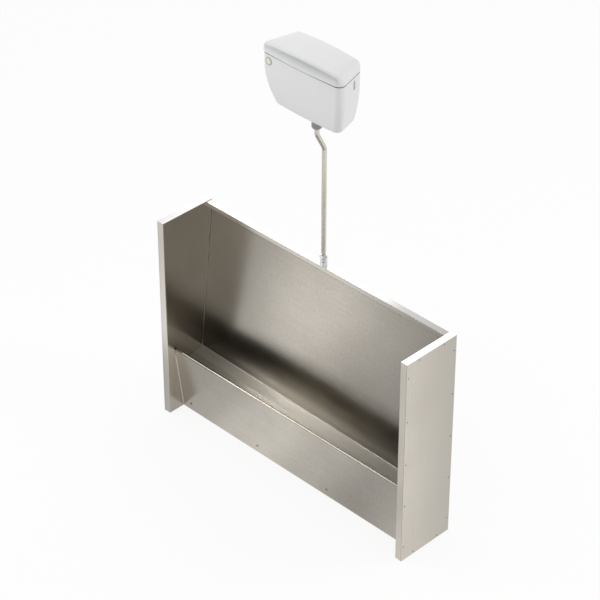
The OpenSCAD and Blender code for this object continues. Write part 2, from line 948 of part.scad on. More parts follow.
module swan_bend(y, z, start, r) {
    translate([0, y, z])
        rotate([90, 0, 90])
            rotate([0, 0, start - bend_lap])
                rotate_extrude(angle = swan_angle + 2 * bend_lap)
                    translate([swan_r, 0])
                        circle(r = r);
}

module flush_route(r, bend_r, extra) {
    start_z = swan_z - swan_cut;
    bend_y = from_wall(pipe_d) - swan_r;
    slope_y = bend_y + swan_r * cos(swan_angle);
    slope_z = start_z + swan_r * sin(swan_angle);
    top_y = slope_y - swan_slope * sin(swan_angle);
    top_z = slope_z + swan_slope * cos(swan_angle);
    last_z = top_z + swan_r * sin(swan_angle);
    translate([0, from_wall(pipe_d), pipe_stop_z - extra])
        cylinder(h = start_z - pipe_stop_z + extra, r = r);
    swan_bend(bend_y, start_z, 0, bend_r);
    translate([0, slope_y, slope_z])
        rotate([swan_angle, 0, 0])
            cylinder(h = swan_slope, r = r);
    swan_bend(top_y + swan_r * cos(swan_angle), last_z, 180, bend_r);
    translate([0, from_wall(siphon_d), last_z])
        cylinder(h = pipe_top_z + extra - last_z, r = r);
}

module flush_pipe() {
    bore_r = flush_r - pipe_wall;
    color(steel_colour)
    difference() {
        flush_route(flush_r, flush_r - bend_thin, 0);
        flush_route(bore_r, bore_r + bend_thin, over);
    }
}

module on_siphon(z) {
    translate([0, from_wall(siphon_d), z])
        children();
}

grip_r = 3;
grips = 10;
grip_depth_share = 0.7;

module flush_pipe_nut() {
    r = flush_nut_d / 2;
    arc = [for (k = [0 : fold_steps])
        [r - flush_nut_round + flush_nut_round * sin(90 * k / fold_steps),
            flush_nut_round - flush_nut_round * cos(90 * k / fold_steps)]];
    color(grey_colour)
    on_siphon(flush_nut_z)
        difference() {
            rotate_extrude()
                polygon(concat([[0, 0]], arc,
                    [[r, flush_nut_h - chamfer], [r - chamfer, flush_nut_h], [0, flush_nut_h]]));
            translate([0, 0, -over])
                cylinder(h = 2 * over, r = flush_r + hole_gap);
            translate([0, 0, flush_nut_floor])
                cylinder(h = flush_nut_h, r = tail_d / 2 + fit);
            for (i = [0 : grips - 1])
                rotate([0, 0, full_turn * i / grips])
                    translate([r + grip_r * grip_depth_share, 0, -over])
                        cylinder(h = flush_nut_h + 2 * over, r = grip_r);
        }
}

// Rubber cone that seals the flush pipe in the tail
module cone_washer() {
    color(rubber_colour)
    on_siphon(flush_nut_z + flush_nut_floor)
        difference() {
            rotate_extrude()
                polygon([
                    [0, 0], [tail_d / 2 - seat, 0], [tail_d / 2 - seat, cone_h / 2],
                    [flush_r + olive_t, cone_h], [0, cone_h]
                ]);
            translate([0, 0, -over])
                cylinder(h = 2 * over, r = flush_r + fit);
        }
}

// Solid through rings of points that run the same way round, from the lowest ring up
module loft(rings) {
    n = len(rings[0]);
    top = (len(rings) - 1) * n;
    polyhedron(
        points = [for (ring = rings) each ring],
        faces = concat(
            [[for (i = [0 : n - 1]) i]],
            [for (j = [0 : len(rings) - 2], i = [0 : n - 1]) each
                let (a = j * n + i, b = j * n + (i + 1) % n)
                [[a, a + n, b + n], [a, b + n, b]]],
            [[for (i = [n - 1 : -1 : 0]) top + i]]
        )
    );
}

function at_height(outline, z) = [for (p = outline) [p[0], p[1], z]];

// Half width of the cistern at a distance from the wall, with its sides moved in by an inset
function side_half(front_half, rear_half, depth, at, inset) =
    rear_half + (front_half - rear_half) * at / depth - inset / cos(atan((front_half - rear_half) / depth));

// Plan of the cistern: wide bowed front, sides that draw in to the wall
function cistern_outline(front_half, rear_half, depth, bow, side_in, front_in, rear_in) =
    let (
        xf = side_half(front_half, rear_half, depth, depth - front_in, side_in),
        xr = side_half(front_half, rear_half, depth, rear_in, side_in),
        front_y = from_wall(depth - front_in),
        rear_y = from_wall(rear_in),
        front_r = max(corner_r - side_in, least_r),
        back_r = max(rear_r - side_in, least_r)
    )
    rounded_outline(
        [[-xf, front_y], [0, front_y - bow], [xf, front_y], [xr, rear_y], [-xr, rear_y]],
        [front_r, bow_share * xf * xf / bow, front_r, back_r, back_r],
        [corner_steps, bow_steps, corner_steps, rear_steps, rear_steps]
    );
least_r = 1.5;

// The sides bulge: they draw in faster towards the base
function taper(z) = z < taper_h ? pow(1 - z / taper_h, bulge_power) : 0;

function body_outline(z, inset) =
    let (
        front_half = (cistern_w - (cistern_w - base_w) * taper(z)) / 2,
        depth = cistern_d - (cistern_d - base_d) * taper(z)
    )
    cistern_outline(front_half, front_half * cistern_rear_w / cistern_w, depth, cistern_bow,
        inset, inset, inset);

function body_rings(inset, top) =
    let (r = base_r - inset)
    concat(
        [for (k = [0 : round_bands])
            let (a = 90 * k / round_bands, z = inset + r * (1 - cos(a)))
            at_height(body_outline(z, inset + r * (1 - sin(a))), z)],
        [for (j = [1 : taper_bands])
            let (z = base_r + (taper_h - base_r) * j / taper_bands)
            at_height(body_outline(z, inset), z)],
        [at_height(body_outline(top, inset), top)]
    );

rim_z = cistern_z + cistern_h;
function rim_outline(inset) = body_outline(cistern_h, inset);

// Frame on the front band, with local z pointing out to the front
module on_front(x, drop) {
    depth = cistern_d + cistern_bow * (1 - abs(x) / (cistern_w / 2));
    translate([x, from_wall(depth), rim_z - drop])
        rotate([0, 0, sign(x) * front_angle])
            rotate([90, 0, 0])
                children();
}

// Frame on a side band, with local z pointing out and local x pointing up
module on_left_side(d, drop) {
    translate([-side_half(cistern_w / 2, cistern_rear_w / 2, cistern_d, d, 0), from_wall(d), rim_z - drop])
        rotate([0, 0, -side_angle])
            rotate([0, -90, 0])
                children();
}

module on_right_side(d, drop) {
    translate([side_half(cistern_w / 2, cistern_rear_w / 2, cistern_d, d, 0), from_wall(d), rim_z - drop])
        rotate([0, 0, side_angle])
            rotate([0, 90, 0])
                children();
}

module cistern_body() {
    upstand_in = ring_inset + ring_w + hole_gap;
    slot_reach = slot_h / 2 - slot_w / 2;
    color(white_colour)
    difference() {
        union() {
            translate([0, 0, cistern_z])
                difference() {
                    loft(body_rings(0, cistern_h));
                    loft(body_rings(cistern_wall, cistern_h - cistern_wall));
                    translate([0, 0, cistern_h - over])
                        linear_extrude(2 * over)
                            polygon(rim_outline(rim_w));
                }
            translate([0, 0, rim_z - cistern_wall / 2])
                difference() {
                    linear_extrude(cistern_wall / 2 + rim_upstand)
                        polygon(rim_outline(upstand_in));
                    translate([0, 0, -over])
                        linear_extrude(3 * over)
                            polygon(rim_outline(upstand_in + upstand_w));
                }
        }
        on_front(-cistern_w / 2 + plug_inset, plug_drop)
            translate([0, 0, -over])
                cylinder(h = 2 * over, r = plug_hole_d / 2);
        on_left_side(petcock_d, petcock_drop)
            translate([0, 0, -over])
                cylinder(h = 2 * over, r = inlet_d / 2 + fit);
        on_right_side(slot_d, slot_drop) {
            translate([-slot_reach, -slot_w / 2, -over])
                cube([2 * slot_reach, slot_w, 2 * over]);
            for (side = [-1, 1])
                translate([side * slot_reach, 0, -over])
                    cylinder(h = 2 * over, r = slot_w / 2);
        }
        for (side = [-1, 1])
            translate([side * cistern_hole_pitch / 2, from_wall(-over), rim_z - cistern_hole_drop])
                rotate([90, 0, 0])
                    cylinder(h = 2 * over, r = cistern_hole_d / 2);
        on_siphon(cistern_z - over)
            cylinder(h = 2 * over, r = tail_d / 2 + fit);
    }
}

// Lid: a shallow shell with an arched top, rounded ends and a bowed front that overhangs the rim
lid_wall = 3;
lid_rear_gap = 0.5;
lid_rear_r = 6;
lid_round_power = 4;
lid_bands = 5;
lid_inner_shares = [0.75, 0.5, 0.25, 0.04];

function lid_arch(x) = lid_end_h + (lid_h - lid_end_h) * (1 - pow(2 * x / cistern_w, 2));
function lid_drop(x, inset) =
    lid_edge_r - inset + (lid_round - lid_edge_r) * pow(min(abs(2 * x / cistern_w), 1), lid_round_power);

function lid_outline(inset, curl) = cistern_outline(
    cistern_w / 2, cistern_rear_w / 2, cistern_d, cistern_bow + lid_bow,
    inset - lid_over + (lid_round - inset) * curl,
    inset - lid_over + (lid_edge_r - inset) * curl,
    inset + lid_rear_gap + lid_rear_r * curl
);

function lid_edge_ring(inset, low, a) = [
    for (p = lid_outline(inset, 1 - cos(a)))
        [p[0], p[1], max(lid_arch(p[0]) - inset - lid_drop(p[0], inset) * (1 - sin(a)),
            low + chamfer * a / 90 + skim)]
];

function lid_rings(inset, low) = concat(
    [at_height(lid_outline(inset, 0), low)],
    [for (k = [0 : lid_bands]) lid_edge_ring(inset, low, 90 * k / lid_bands)],
    [for (s = lid_inner_shares)
        [for (p = lid_outline(inset, 1))
            let (mid = from_wall(cistern_d / 2), x = p[0] * s)
            [x, mid + (p[1] - mid) * s, lid_arch(x) - inset]]]
);

module cistern_lid() {
    plate_z = groove_h + lid_wall;
    color(white_colour)
    translate([0, 0, rim_z]) {
        difference() {
            loft(lid_rings(0, groove_h));
            loft(lid_rings(lid_wall, plate_z));
            linear_extrude(plate_z + skim)
                polygon(rim_outline(ring_inset + ring_w));
        }
        translate([0, 0, seat])
            difference() {
                linear_extrude(groove_h)
                    polygon(rim_outline(ring_inset));
                translate([0, 0, -over])
                    linear_extrude(2 * over)
                        polygon(rim_outline(ring_inset + ring_w));
            }
    }
}

// Blank snap-in plug in the unused lever hole
module lever_hole_plug() {
    stem_l = cistern_wall + plug_h;
    rim_r = plug_d / 2;
    face_r = plug_face_d / 2;
    edge = plug_h / 2;
    color(ivory_colour)
    on_front(-cistern_w / 2 + plug_inset, plug_drop)
        rotate_extrude()
            polygon(concat(
                [[0, -stem_l], [plug_hole_d / 2 - 2 * fit, -stem_l], [plug_hole_d / 2 - 2 * fit, skim],
                    [rim_r, skim]],
                [for (k = [0 : fold_steps])
                    [rim_r - edge + edge * cos(90 * k / fold_steps), edge + edge * sin(90 * k / fold_steps)]],
                [[face_r + edge, plug_h], [face_r, plug_h - edge], [0, plug_h - edge]]
            ));
}

// Siphon: the stem carries a flange on the cistern's base and a threaded tail below it
siphon_washer_t = 2.5;
stem_flange_t = 4;
inner_floor = cistern_z + cistern_wall;

module siphon_stem() {
    color(white_colour)
    difference() {
        union() {
            on_siphon(tail_z)
                cylinder(h = tail_l + stem_h, r = tail_d / 2);
            on_siphon(inner_floor + siphon_washer_t)
                cylinder(h = stem_flange_t, r = stem_flange_d / 2);
        }
        on_siphon(tail_z - over)
            cylinder(h = tail_l + stem_h + 2 * over, r = tail_bore / 2);
    }
}

module siphon_washer() {
    color(rubber_colour)
    on_siphon(inner_floor)
        tube(stem_flange_d / 2, tail_d / 2 + fit, siphon_washer_t);
}

siphon_nut_h = 12;
siphon_nut_land = 9;

module siphon_back_nut() {
    color(grey_colour)
    on_siphon(cistern_z - siphon_nut_h)
        difference() {
            hex_body(tail_d + 2 * siphon_nut_land, siphon_nut_h);
            translate([0, 0, -over])
                cylinder(h = 2 * over, r = tail_d / 2 + fit);
        }
}

// Bell over the stem: notched at its open edge and held off the stem by fins
bell_fins = 3;
bell_notches = 4;
bell_fin_t = 2.5;
bell_fin_h = 45;
bell_notch_w = 16;
bell_notch_h = 12;
bell_lug_h = 12;
bell_crown_share = 0.32;

module siphon_bell() {
    r = bell_d / 2;
    h = bell_top - bell_low;
    crown = h * bell_crown_share;
    color(white_colour)
    on_siphon(cistern_z + bell_low)
        difference() {
            union() {
                difference() {
                    union() {
                        cylinder(h = h - crown, r = r);
                        translate([0, 0, h - crown])
                            bell_crown(r, crown);
                    }
                    translate([0, 0, -over])
                        cylinder(h = h - crown + over, r = r - bell_wall);
                    translate([0, 0, h - crown])
                        bell_crown(r - bell_wall, crown - bell_wall);
                    for (i = [0 : bell_notches - 1])
                        rotate([0, 0, full_turn * (i + 1 / 2) / bell_notches])
                            translate([0, -bell_notch_w / 2, -over])
                                cube([r + over, bell_notch_w, over + bell_notch_h]);
                }
                for (i = [0 : bell_fins - 1])
                    rotate([0, 0, full_turn * i / bell_fins])
                        translate([tail_d / 2 + fit, -bell_fin_t / 2, bell_notch_h])
                            cube([r - bell_wall / 2 - tail_d / 2, bell_fin_t, bell_fin_h]);
                translate([r + vent_d / 2, 0, h - crown - bell_lug_h])
                    cylinder(h = bell_lug_h, r = vent_d);
            }
            translate([r + vent_d / 2, 0, -over])
                cylinder(h = h + over, r = vent_d / 2 + fit);
        }
}

// Half ellipse turned about the bell's axis
module bell_crown(r, h) {
    rotate_extrude()
        polygon(concat([[0, 0]], [for (k = [0 : 2 * fold_steps])
            [r * cos(45 * k / fold_steps), h * sin(45 * k / fold_steps)]]));
}

module siphon_vent_tube() {
    top = bell_top - bell_low - (bell_top - bell_low) * bell_crown_share;
    color(grey_colour)
    on_siphon(cistern_z + bell_low)
        translate([bell_d / 2 + vent_d / 2, 0, bell_notch_h])
            tube(vent_d / 2, vent_d / 4, top - bell_notch_h);
}

// Petcock: a small tap through the left side that drips into the cistern
petcock_nut_h = 7;
petcock_hex_h = 8;
petcock_barrel_h = 30;
petcock_barrel_low = 12;
nozzle_d = 10;
nozzle_bore = 6;
nozzle_l = 26;
nozzle_out = 14;
key_t = 4;
key_w = 7;
petcock_in = cistern_wall + washer_t;
// Relief groove turned in a thread where its own nut ends
relief_w = 2;
relief_in = 1;
barrel_in = petcock_in + petcock_hex_h + barrel_d / 2;

module petcock_body() {
    color(brass_colour)
    on_left_side(petcock_d, petcock_drop)
        difference() {
            union() {
                translate([0, 0, -barrel_in])
                    cylinder(h = barrel_in + inlet_l, r = inlet_d / 2);
                translate([0, 0, -petcock_in - petcock_hex_h])
                    hex_body(petcock_af, petcock_hex_h);
                translate([-petcock_barrel_low, 0, -barrel_in])
                    rotate([0, 90, 0])
                        cylinder(h = petcock_barrel_h, r = barrel_d / 2);
                translate([0, 0, -barrel_in - nozzle_out])
                    cylinder(h = nozzle_out, r = nozzle_d / 2);
                translate([nozzle_d / 2 - nozzle_l, 0, -barrel_in - nozzle_out])
                    rotate([0, 90, 0])
                        cylinder(h = nozzle_l, r = nozzle_d / 2);
            }
            translate([0, 0, -barrel_in])
                cylinder(h = barrel_in + inlet_l + over, r = inlet_bore / 2);
            translate([0, 0, washer_t + petcock_nut_h])
                tube(inlet_d, inlet_d / 2 - relief_in, relief_w);
            translate([0, 0, -barrel_in])
                rotate([0, 90, 0])
                    cylinder(h = petcock_barrel_h, r = spindle_d / 2 + fit);
            translate([-nozzle_l, 0, -barrel_in - nozzle_out])
                rotate([0, 90, 0])
                    cylinder(h = nozzle_l, r = nozzle_bore / 2);
        }
}

// Key: a spindle in the barrel with a flat handle on top
module petcock_key() {
    handle_low = petcock_barrel_h - petcock_barrel_low + seat;
    color(chrome_colour)
    on_left_side(petcock_d, petcock_drop)
        translate([0, 0, -barrel_in]) {
            translate([seat, 0, 0])
                rotate([0, 90, 0])
                    cylinder(h = handle_low, r = spindle_d / 2);
            translate([handle_low, 0, 0])
                rotate([0, 90, 0])
                    cylinder(h = key_t, r = spindle_d / 2 + chamfer);
            translate([handle_low, -key_w / 2, -key_l / 2])
                cube([key_t, key_w, key_l]);
        }
}

module petcock_washers() {
    color(rubber_colour)
    on_left_side(petcock_d, petcock_drop)
        for (z = [0, -petcock_in])
            translate([0, 0, z])
                tube(petcock_af / 2, inlet_d / 2 + fit, washer_t);
}

module petcock_back_nut() {
    color(brass_colour)
    on_left_side(petcock_d, petcock_drop)
        translate([0, 0, washer_t])
            difference() {
                hex_body(petcock_af, petcock_nut_h);
                translate([0, 0, -over])
                    cylinder(h = 2 * over, r = inlet_d / 2 + fit);
            }
}

// Waste: flanged outlet in the pressed cup, with a strainer that lifts out
module on_waste(z) {
    translate([waste_x, from_wall(waste_d), recess_z + z])
        children();
}

waste_nut_land = 7;
waste_nut_h = 12;
under_gasket_t = 3;
strainer_t = 2;
strainer_skirt = 14;
strainer_slot_w = 5;
strainer_hub_share = 0.2;

module waste_gasket() {
    color(rubber_colour)
    on_waste(0)
        tube(waste_flange_d / 2, waste_thread_d / 2 + fit, gasket_t);
}

module waste_body() {
    color(steel_colour)
    on_waste(0)
        difference() {
            union() {
                translate([0, 0, -waste_l])
                    cylinder(h = waste_l + gasket_t + waste_flange_t, r = waste_thread_d / 2);
                translate([0, 0, gasket_t])
                    cylinder(h = waste_flange_t, r = waste_flange_d / 2);
            }
            translate([0, 0, -waste_l - over])
                cylinder(h = waste_l + 3 * over, r = waste_bore / 2);
            translate([0, 0, -sheet - under_gasket_t - waste_nut_h - relief_w])
                tube(waste_thread_d, waste_thread_d / 2 - relief_in, relief_w);
        }
}

module waste_under_gasket() {
    color(rubber_colour)
    on_waste(-sheet - under_gasket_t)
        tube(waste_thread_d / 2 + waste_nut_land, waste_thread_d / 2 + fit, under_gasket_t);
}

module waste_back_nut() {
    color(white_colour)
    on_waste(-sheet - under_gasket_t - waste_nut_h)
        difference() {
            hex_body(waste_thread_d + 2 * waste_nut_land, waste_nut_h);
            translate([0, 0, -over])
                cylinder(h = 2 * over, r = waste_thread_d / 2 + fit);
        }
}

module waste_strainer() {
    r = strainer_d / 2;
    skirt_r = waste_bore / 2 - hole_gap;
    hub = strainer_d * strainer_hub_share;
    color(chrome_colour)
    on_waste(gasket_t + waste_flange_t + fit)
        difference() {
            union() {
                difference() {
                    bell_crown(r, strainer_h);
                    translate([0, 0, -skim])
                        bell_crown(r - strainer_t, strainer_h - strainer_t + skim);
                }
                translate([0, 0, -strainer_skirt])
                    tube(skirt_r, skirt_r - strainer_t, strainer_skirt + strainer_t);
                difference() {
                    cylinder(h = strainer_t, r = r - strainer_t / 2);
                    translate([0, 0, -over])
                        cylinder(h = 2 * over, r = skirt_r - strainer_t);
                }
            }
            for (i = [0 : strainer_slots - 1])
                rotate([0, 0, full_turn * i / strainer_slots])
                    translate([hub, -strainer_slot_w / 2, strainer_t])
                        cube([r, strainer_slot_w, strainer_h]);
        }
}

back_panel();
trough();
apron();
apron_screws();
floor_rail();
left_inner_panel();
right_inner_panel();
left_outer_skin();
right_outer_skin();
left_skin_rivets();
right_skin_rivets();
hanging_rail();
wall_rail();
sparge_pipe();
sparge_end_plugs();
sparge_clips();
inlet_back_nut();
inlet_washer();
swivel_nut();
coupling_body();
compression_olive();
compression_nut();
flush_pipe();
flush_pipe_nut();
cone_washer();
cistern_body();
cistern_lid();
lever_hole_plug();
siphon_stem();
siphon_bell();
siphon_vent_tube();
siphon_washer();
siphon_back_nut();
petcock_body();
petcock_key();
petcock_washers();
petcock_back_nut();
waste_body();
waste_strainer();
waste_gasket();
waste_under_gasket();
waste_back_nut();
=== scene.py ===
"""Looks for the floor standing urinal: satin stainless slab, chrome coupling, plastic cistern."""

import math

import bmesh
import bpy
import numpy as np
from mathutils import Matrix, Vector


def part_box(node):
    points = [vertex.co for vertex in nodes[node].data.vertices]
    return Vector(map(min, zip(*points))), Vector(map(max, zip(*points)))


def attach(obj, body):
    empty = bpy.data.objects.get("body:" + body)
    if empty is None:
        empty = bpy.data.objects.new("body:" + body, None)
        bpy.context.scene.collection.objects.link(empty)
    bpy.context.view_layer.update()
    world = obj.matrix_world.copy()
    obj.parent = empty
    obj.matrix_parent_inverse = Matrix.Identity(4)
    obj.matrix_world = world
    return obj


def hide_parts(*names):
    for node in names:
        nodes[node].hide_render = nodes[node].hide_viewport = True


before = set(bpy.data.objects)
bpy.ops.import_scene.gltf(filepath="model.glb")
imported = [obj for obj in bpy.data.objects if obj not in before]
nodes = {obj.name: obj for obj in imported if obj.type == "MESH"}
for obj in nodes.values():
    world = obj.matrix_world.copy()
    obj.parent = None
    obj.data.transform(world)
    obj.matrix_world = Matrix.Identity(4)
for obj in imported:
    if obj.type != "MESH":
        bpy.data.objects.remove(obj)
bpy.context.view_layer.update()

# Camera
# The photo is a true isometric view: 45 degrees round to the right and 35.26 degrees down. A long
# lens far away takes the place of a view without perspective.
CAMERA_PLACE = (5.973769, -5.986114, 6.904163)
CAMERA_DOWN = math.atan(math.sqrt(0.5))
CAMERA_ROUND = math.radians(45)
LENS_MM = 145.09
SENSOR_MM = 36
CAMERA_REACH = 60

camera_data = bpy.data.cameras.new("camera")
camera_data.lens = LENS_MM
camera_data.sensor_width = SENSOR_MM
camera_data.clip_end = CAMERA_REACH
camera = bpy.data.objects.new("camera", camera_data)
camera.location = CAMERA_PLACE
camera.rotation_euler = (math.pi / 2 - CAMERA_DOWN, 0, CAMERA_ROUND)
bpy.context.scene.collection.objects.link(camera)
bpy.context.scene.camera = camera
bpy.context.scene.view_settings.view_transform = "Standard"

# Back panel and hood
# One sheet of 1.5 mm stainless steel, ground with a fine belt along its length and then folded
# over at the top into a hood with a hanging lip. It leans forward to the trough that it drains to.
SHEET = 0.0015
STEEL = (0.685, 0.638, 0.566, 1.0)
STEEL_DARK = (0.575, 0.533, 0.466, 1.0)
STEEL_ROUGH = 0.22
GRAIN_FINE = 1400.0
GRAIN_BROAD = 240.0
GRAIN_LENGTH_SHARE = 0.012
GRAIN_DETAIL = 3.0
SPECKLE_SCALE = 140.0
CLOUD_SCALE = 3.4
STREAK_SHARE = 0.25
SPECKLE_SHARE = 0.4
CLOUD_SHARE = 0.35
DARK_LIMITS = (0.34, 0.66)
CLOUD_ROUGH = 0.05
HAIR_ROUGH = 0.04
HAIR_STRENGTH = 0.06
HAIR_DEPTH = 0.0002

# Each mark on the panel is painted light or shade, with a colour and limits: where it starts and
# where it is full. A FADE is measured from an edge of the sheet, and is negative before it.
FOOT_LIGHT_Z = 0.29
SHADE_BAND_Z = 0.42
SHADE_BAND_END_Z = 0.56
FOOT_PAINTED_LIGHT = (0.93, 0.905, 0.86, 1.0)
FOOT_PAINTED_LIGHT_LEFT = (0.46, 0.44, 0.41, 1.0)
BAND_PAINTED_SHADE = (0.17, 0.162, 0.147, 1.0)
BAND_PAINTED_SHADE_LEFT = (0.37, 0.35, 0.315, 1.0)
BAND_PAINTED_SHADE_RIGHT = (0.34, 0.322, 0.295, 1.0)
BAND_LEFT_X = (-0.56, -0.22)
BAND_RIGHT_X = (0.1, 0.4)
BAND_WAVE = 0.03
BAND_WAVE_SCALES = (6, 1, 0.4)
PANEL_PAINTED_SHADE = (0.2, 0.19, 0.17, 1.0)
PAINTED_SHEEN = (1.0, 0.95, 0.86, 1.0)
PANEL_SHARE = 0.45
SHADE_LEFT_X = (-0.5, -0.1)
SHADE_RIGHT_X = (0.05, 0.45)
SHEEN_X = (0.15, 0.6)
PANEL_FADE = (0.0004, 0.0011)
LIP_PAINTED_LIGHT = (0.72, 0.68, 0.61, 1.0)
LIP_FADE = (-0.025, -0.023)
LIP_BACK_Y = (0.116, 0.12)
HOOD_PAINTED_HIGHLIGHT = (0.97, 0.96, 0.93, 1.0)
HOOD_PAINTED_SHADE = (0.45, 0.44, 0.42, 1.0)
HOOD_FADE = (-0.0012, -0.0005)
HOOD_SHADE_X = (0.2, 0.5)


class Socket:
    """A socket of one material's nodes, or the material's tree alone while link is None."""

    def __init__(self, tree, link=None):
        self.tree = tree
        self.link = link

    def node(self, kind, settings=None, inputs=None, output=0):
        """Adds a node of that kind, sets it up, fills or links its inputs and gives one output."""
        made = self.tree.nodes.new("ShaderNode" + kind)
        for name, value in (settings or {}).items():
            setattr(made, name, value)
        for name, value in (inputs or {}).items():
            if isinstance(value, Socket):
                self.tree.links.new(value.link, made.inputs[name])
            else:
                made.inputs[name].default_value = value
        return Socket(self.tree, made.outputs[output])

    def maths(self, operation, first, second=0.0):
        """One Math node."""
        return self.node("Math", {"operation": operation}, {0: first, 1: second})

    def __add__(self, other):
        return self.maths("ADD", self, other)

    __radd__ = __add__

    def __sub__(self, other):
        return self.maths("SUBTRACT", self, other)

    def __rsub__(self, other):
        return self.maths("SUBTRACT", other, self)

    def __mul__(self, other):
        return self.maths("MULTIPLY", self, other)

    __rmul__ = __mul__

    def __abs__(self):
        return self.maths("ABSOLUTE", self)

    def mix(self, first, second):
        """The first colour where this mask is 0 and the second where it is 1.

        A Mix node takes its colours in sockets 6 and 7 and gives the mixed one in output 2.
        """
        settings = {"data_type": "RGBA", "clamp_factor": True}
        return self.node("Mix", settings, {0: self, 6: first, 7: second}, output=2)

    def noise(self, scale, detail=2.0):
        """Soft random values about 0.5 of that scale at this place."""
        return self.node("TexNoise", {}, {"Vector": self, "Scale": scale, "Detail": detail})

    def patches(self, least, swing, scale):
        """The least and up to the swing more, in soft patches of that scale at this place."""
        return least + swing * self.noise(scale)

    def stretched(self, stretch):
        """This place with each axis multiplied, which draws a pattern out along the small ones."""
        return self.node("Mapping", {}, {"Vector": self, "Scale": stretch})

    def axis(self, name):
        """One coordinate of this place."""
        return self.node("SeparateXYZ", {}, {"Vector": self}, output=name)

    def between(self, low, high):
        """0 below low, 1 above high, and a smooth step between."""
        settings = {"interpolation_type": "SMOOTHSTEP"}
        inputs = {"Value": self, "From Min": low, "From Max": high}
        return self.node("MapRange", settings, inputs)

    def past(self, edge, low, high):
        """As between, with the limits measured from an edge."""
        return self.between(edge + low, edge + high)

    def bumped(self, strength, distance):
        """The normal of a surface whose height this value gives."""
        inputs = {"Strength": strength, "Distance": distance, "Height": self}
        return self.node("Bump", {}, inputs)


def new_finish(name, **constants):
    """A material: its tree, the place on the object, and its shader with the constants set."""
    material = bpy.data.materials.new(name)
    material.use_nodes = True
    shader = material.node_tree.nodes["Principled BSDF"]
    for label, value in constants.items():
        shader.inputs[label.replace("_", " ")].default_value = value
    place = Socket(material.node_tree).node("TexCoord", output="Object")
    return material, place, shader


def wear(shader, **sockets):
    """Links sockets to a shader's inputs."""
    for label, value in sockets.items():
        value.tree.links.new(value.link, shader.inputs[label.replace("_", " ")])


def put_on(material, *names):
    """Gives a material to the CAD nodes of those names."""
    for name in names:
        nodes[name].data.materials.clear()
        nodes[name].data.materials.append(material)


def ground_steel(name, along, rough=STEEL_ROUGH, light=STEEL, dark=STEEL_DARK,
                 marked=None, metal=1.0, haze=None):
    """Ground steel whose grain runs along axis 0, 1 or 2, with soft clouds where it was wiped.

    marked takes the place and the colour and gives the colour with the painted light and shade of
    one sheet, and haze takes the place and gives the share of the metal that a haze hides.
    """
    material, place, shader = new_finish(name, Metallic=metal)
    fine = [GRAIN_FINE] * 3
    broad = [GRAIN_BROAD] * 3
    fine[along] *= GRAIN_LENGTH_SHARE
    broad[along] *= GRAIN_LENGTH_SHARE
    hair = place.stretched(fine).noise(1.0, GRAIN_DETAIL)
    streak = place.stretched(broad).noise(1.0, GRAIN_DETAIL)
    cloud = place.noise(CLOUD_SCALE, GRAIN_DETAIL)
    speckle = place.noise(SPECKLE_SCALE)
    mask = (STREAK_SHARE * streak + SPECKLE_SHARE * speckle + CLOUD_SHARE * cloud).between(*DARK_LIMITS)
    colour = mask.mix(light, dark)
    wear(shader, Base_Color=marked(place, colour) if marked else colour)
    if haze:
        wear(shader, Metallic=1 - haze(place))
    wear(shader, Roughness=rough + CLOUD_ROUGH * (cloud - 0.5) + HAIR_ROUGH * (hair - 0.5))
    wear(shader, Normal=hair.bumped(HAIR_STRENGTH, HAIR_DEPTH))
    return material


panel_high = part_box("back_panel")[1]
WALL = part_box("right_outer_skin")[1].y
TROUGH_BACK_DEPTH = 0.086
TROUGH_REAR_Z = 0.280
HOOD_Z = panel_high.z
PANEL_LEAN = math.atan((TROUGH_BACK_DEPTH - (WALL - panel_high.y) - SHEET) / (HOOD_Z - TROUGH_REAR_Z))


def panel_painted_light(place, colour):
    """Painted light and shade on the panel, standing for what its front reflects.

    A painted pale strip at its foot and a painted dark band over it stand for the reflections of the
    trough and of the apron's dark inside. Painted shade dulls its left end and its top right corner,
    with painted light below that corner; the hood's lip is painted lighter, and the hood's top has a
    painted highlight on the left and painted shade on the right.
    The marks stay on the front of the leaning sheet.
    """
    rise = place.axis("Z")
    across = place.axis("X")
    depth = place.axis("Y")
    upper = rise.between(SHADE_BAND_END_Z, HOOD_Z)
    ends = (1 - across.between(*SHADE_LEFT_X)) + across.between(*SHADE_RIGHT_X) * upper
    sheen = across.between(*SHEEN_X) * (1 - upper)
    toned = (PANEL_SHARE * sheen).mix((PANEL_SHARE * ends).mix(colour, PANEL_PAINTED_SHADE), PAINTED_SHEEN)
    lip = rise.past(HOOD_Z, *LIP_FADE) * (1 - depth.between(*LIP_BACK_Y))
    toned = lip.mix(toned, LIP_PAINTED_LIGHT)
    height = rise + BAND_WAVE * (place.stretched(BAND_WAVE_SCALES).noise(1.0) - 0.5)
    right = across.between(*BAND_LEFT_X)
    foot_light = right.mix(FOOT_PAINTED_LIGHT_LEFT, FOOT_PAINTED_LIGHT)
    band_shade = across.between(*BAND_RIGHT_X).mix(right.mix(BAND_PAINTED_SHADE_LEFT, BAND_PAINTED_SHADE), BAND_PAINTED_SHADE_RIGHT)
    foot = height.between(FOOT_LIGHT_Z, SHADE_BAND_Z).mix(foot_light, band_shade)
    front_y = (rise - TROUGH_REAR_Z) * math.tan(PANEL_LEAN) + (WALL - TROUGH_BACK_DEPTH)
    behind = (depth - front_y).between(*PANEL_FADE)
    panel = behind.mix(height.between(SHADE_BAND_Z, SHADE_BAND_END_Z).mix(foot, toned), colour)
    hood = across.between(*HOOD_SHADE_X).mix(HOOD_PAINTED_HIGHLIGHT, HOOD_PAINTED_SHADE)
    return rise.past(HOOD_Z, *HOOD_FADE).mix(panel, hood)


steel_across = ground_steel("steel_grain_across", 0)
steel_panel = ground_steel("steel_back_panel", 0, marked=panel_painted_light)
put_on(steel_panel, "back_panel")

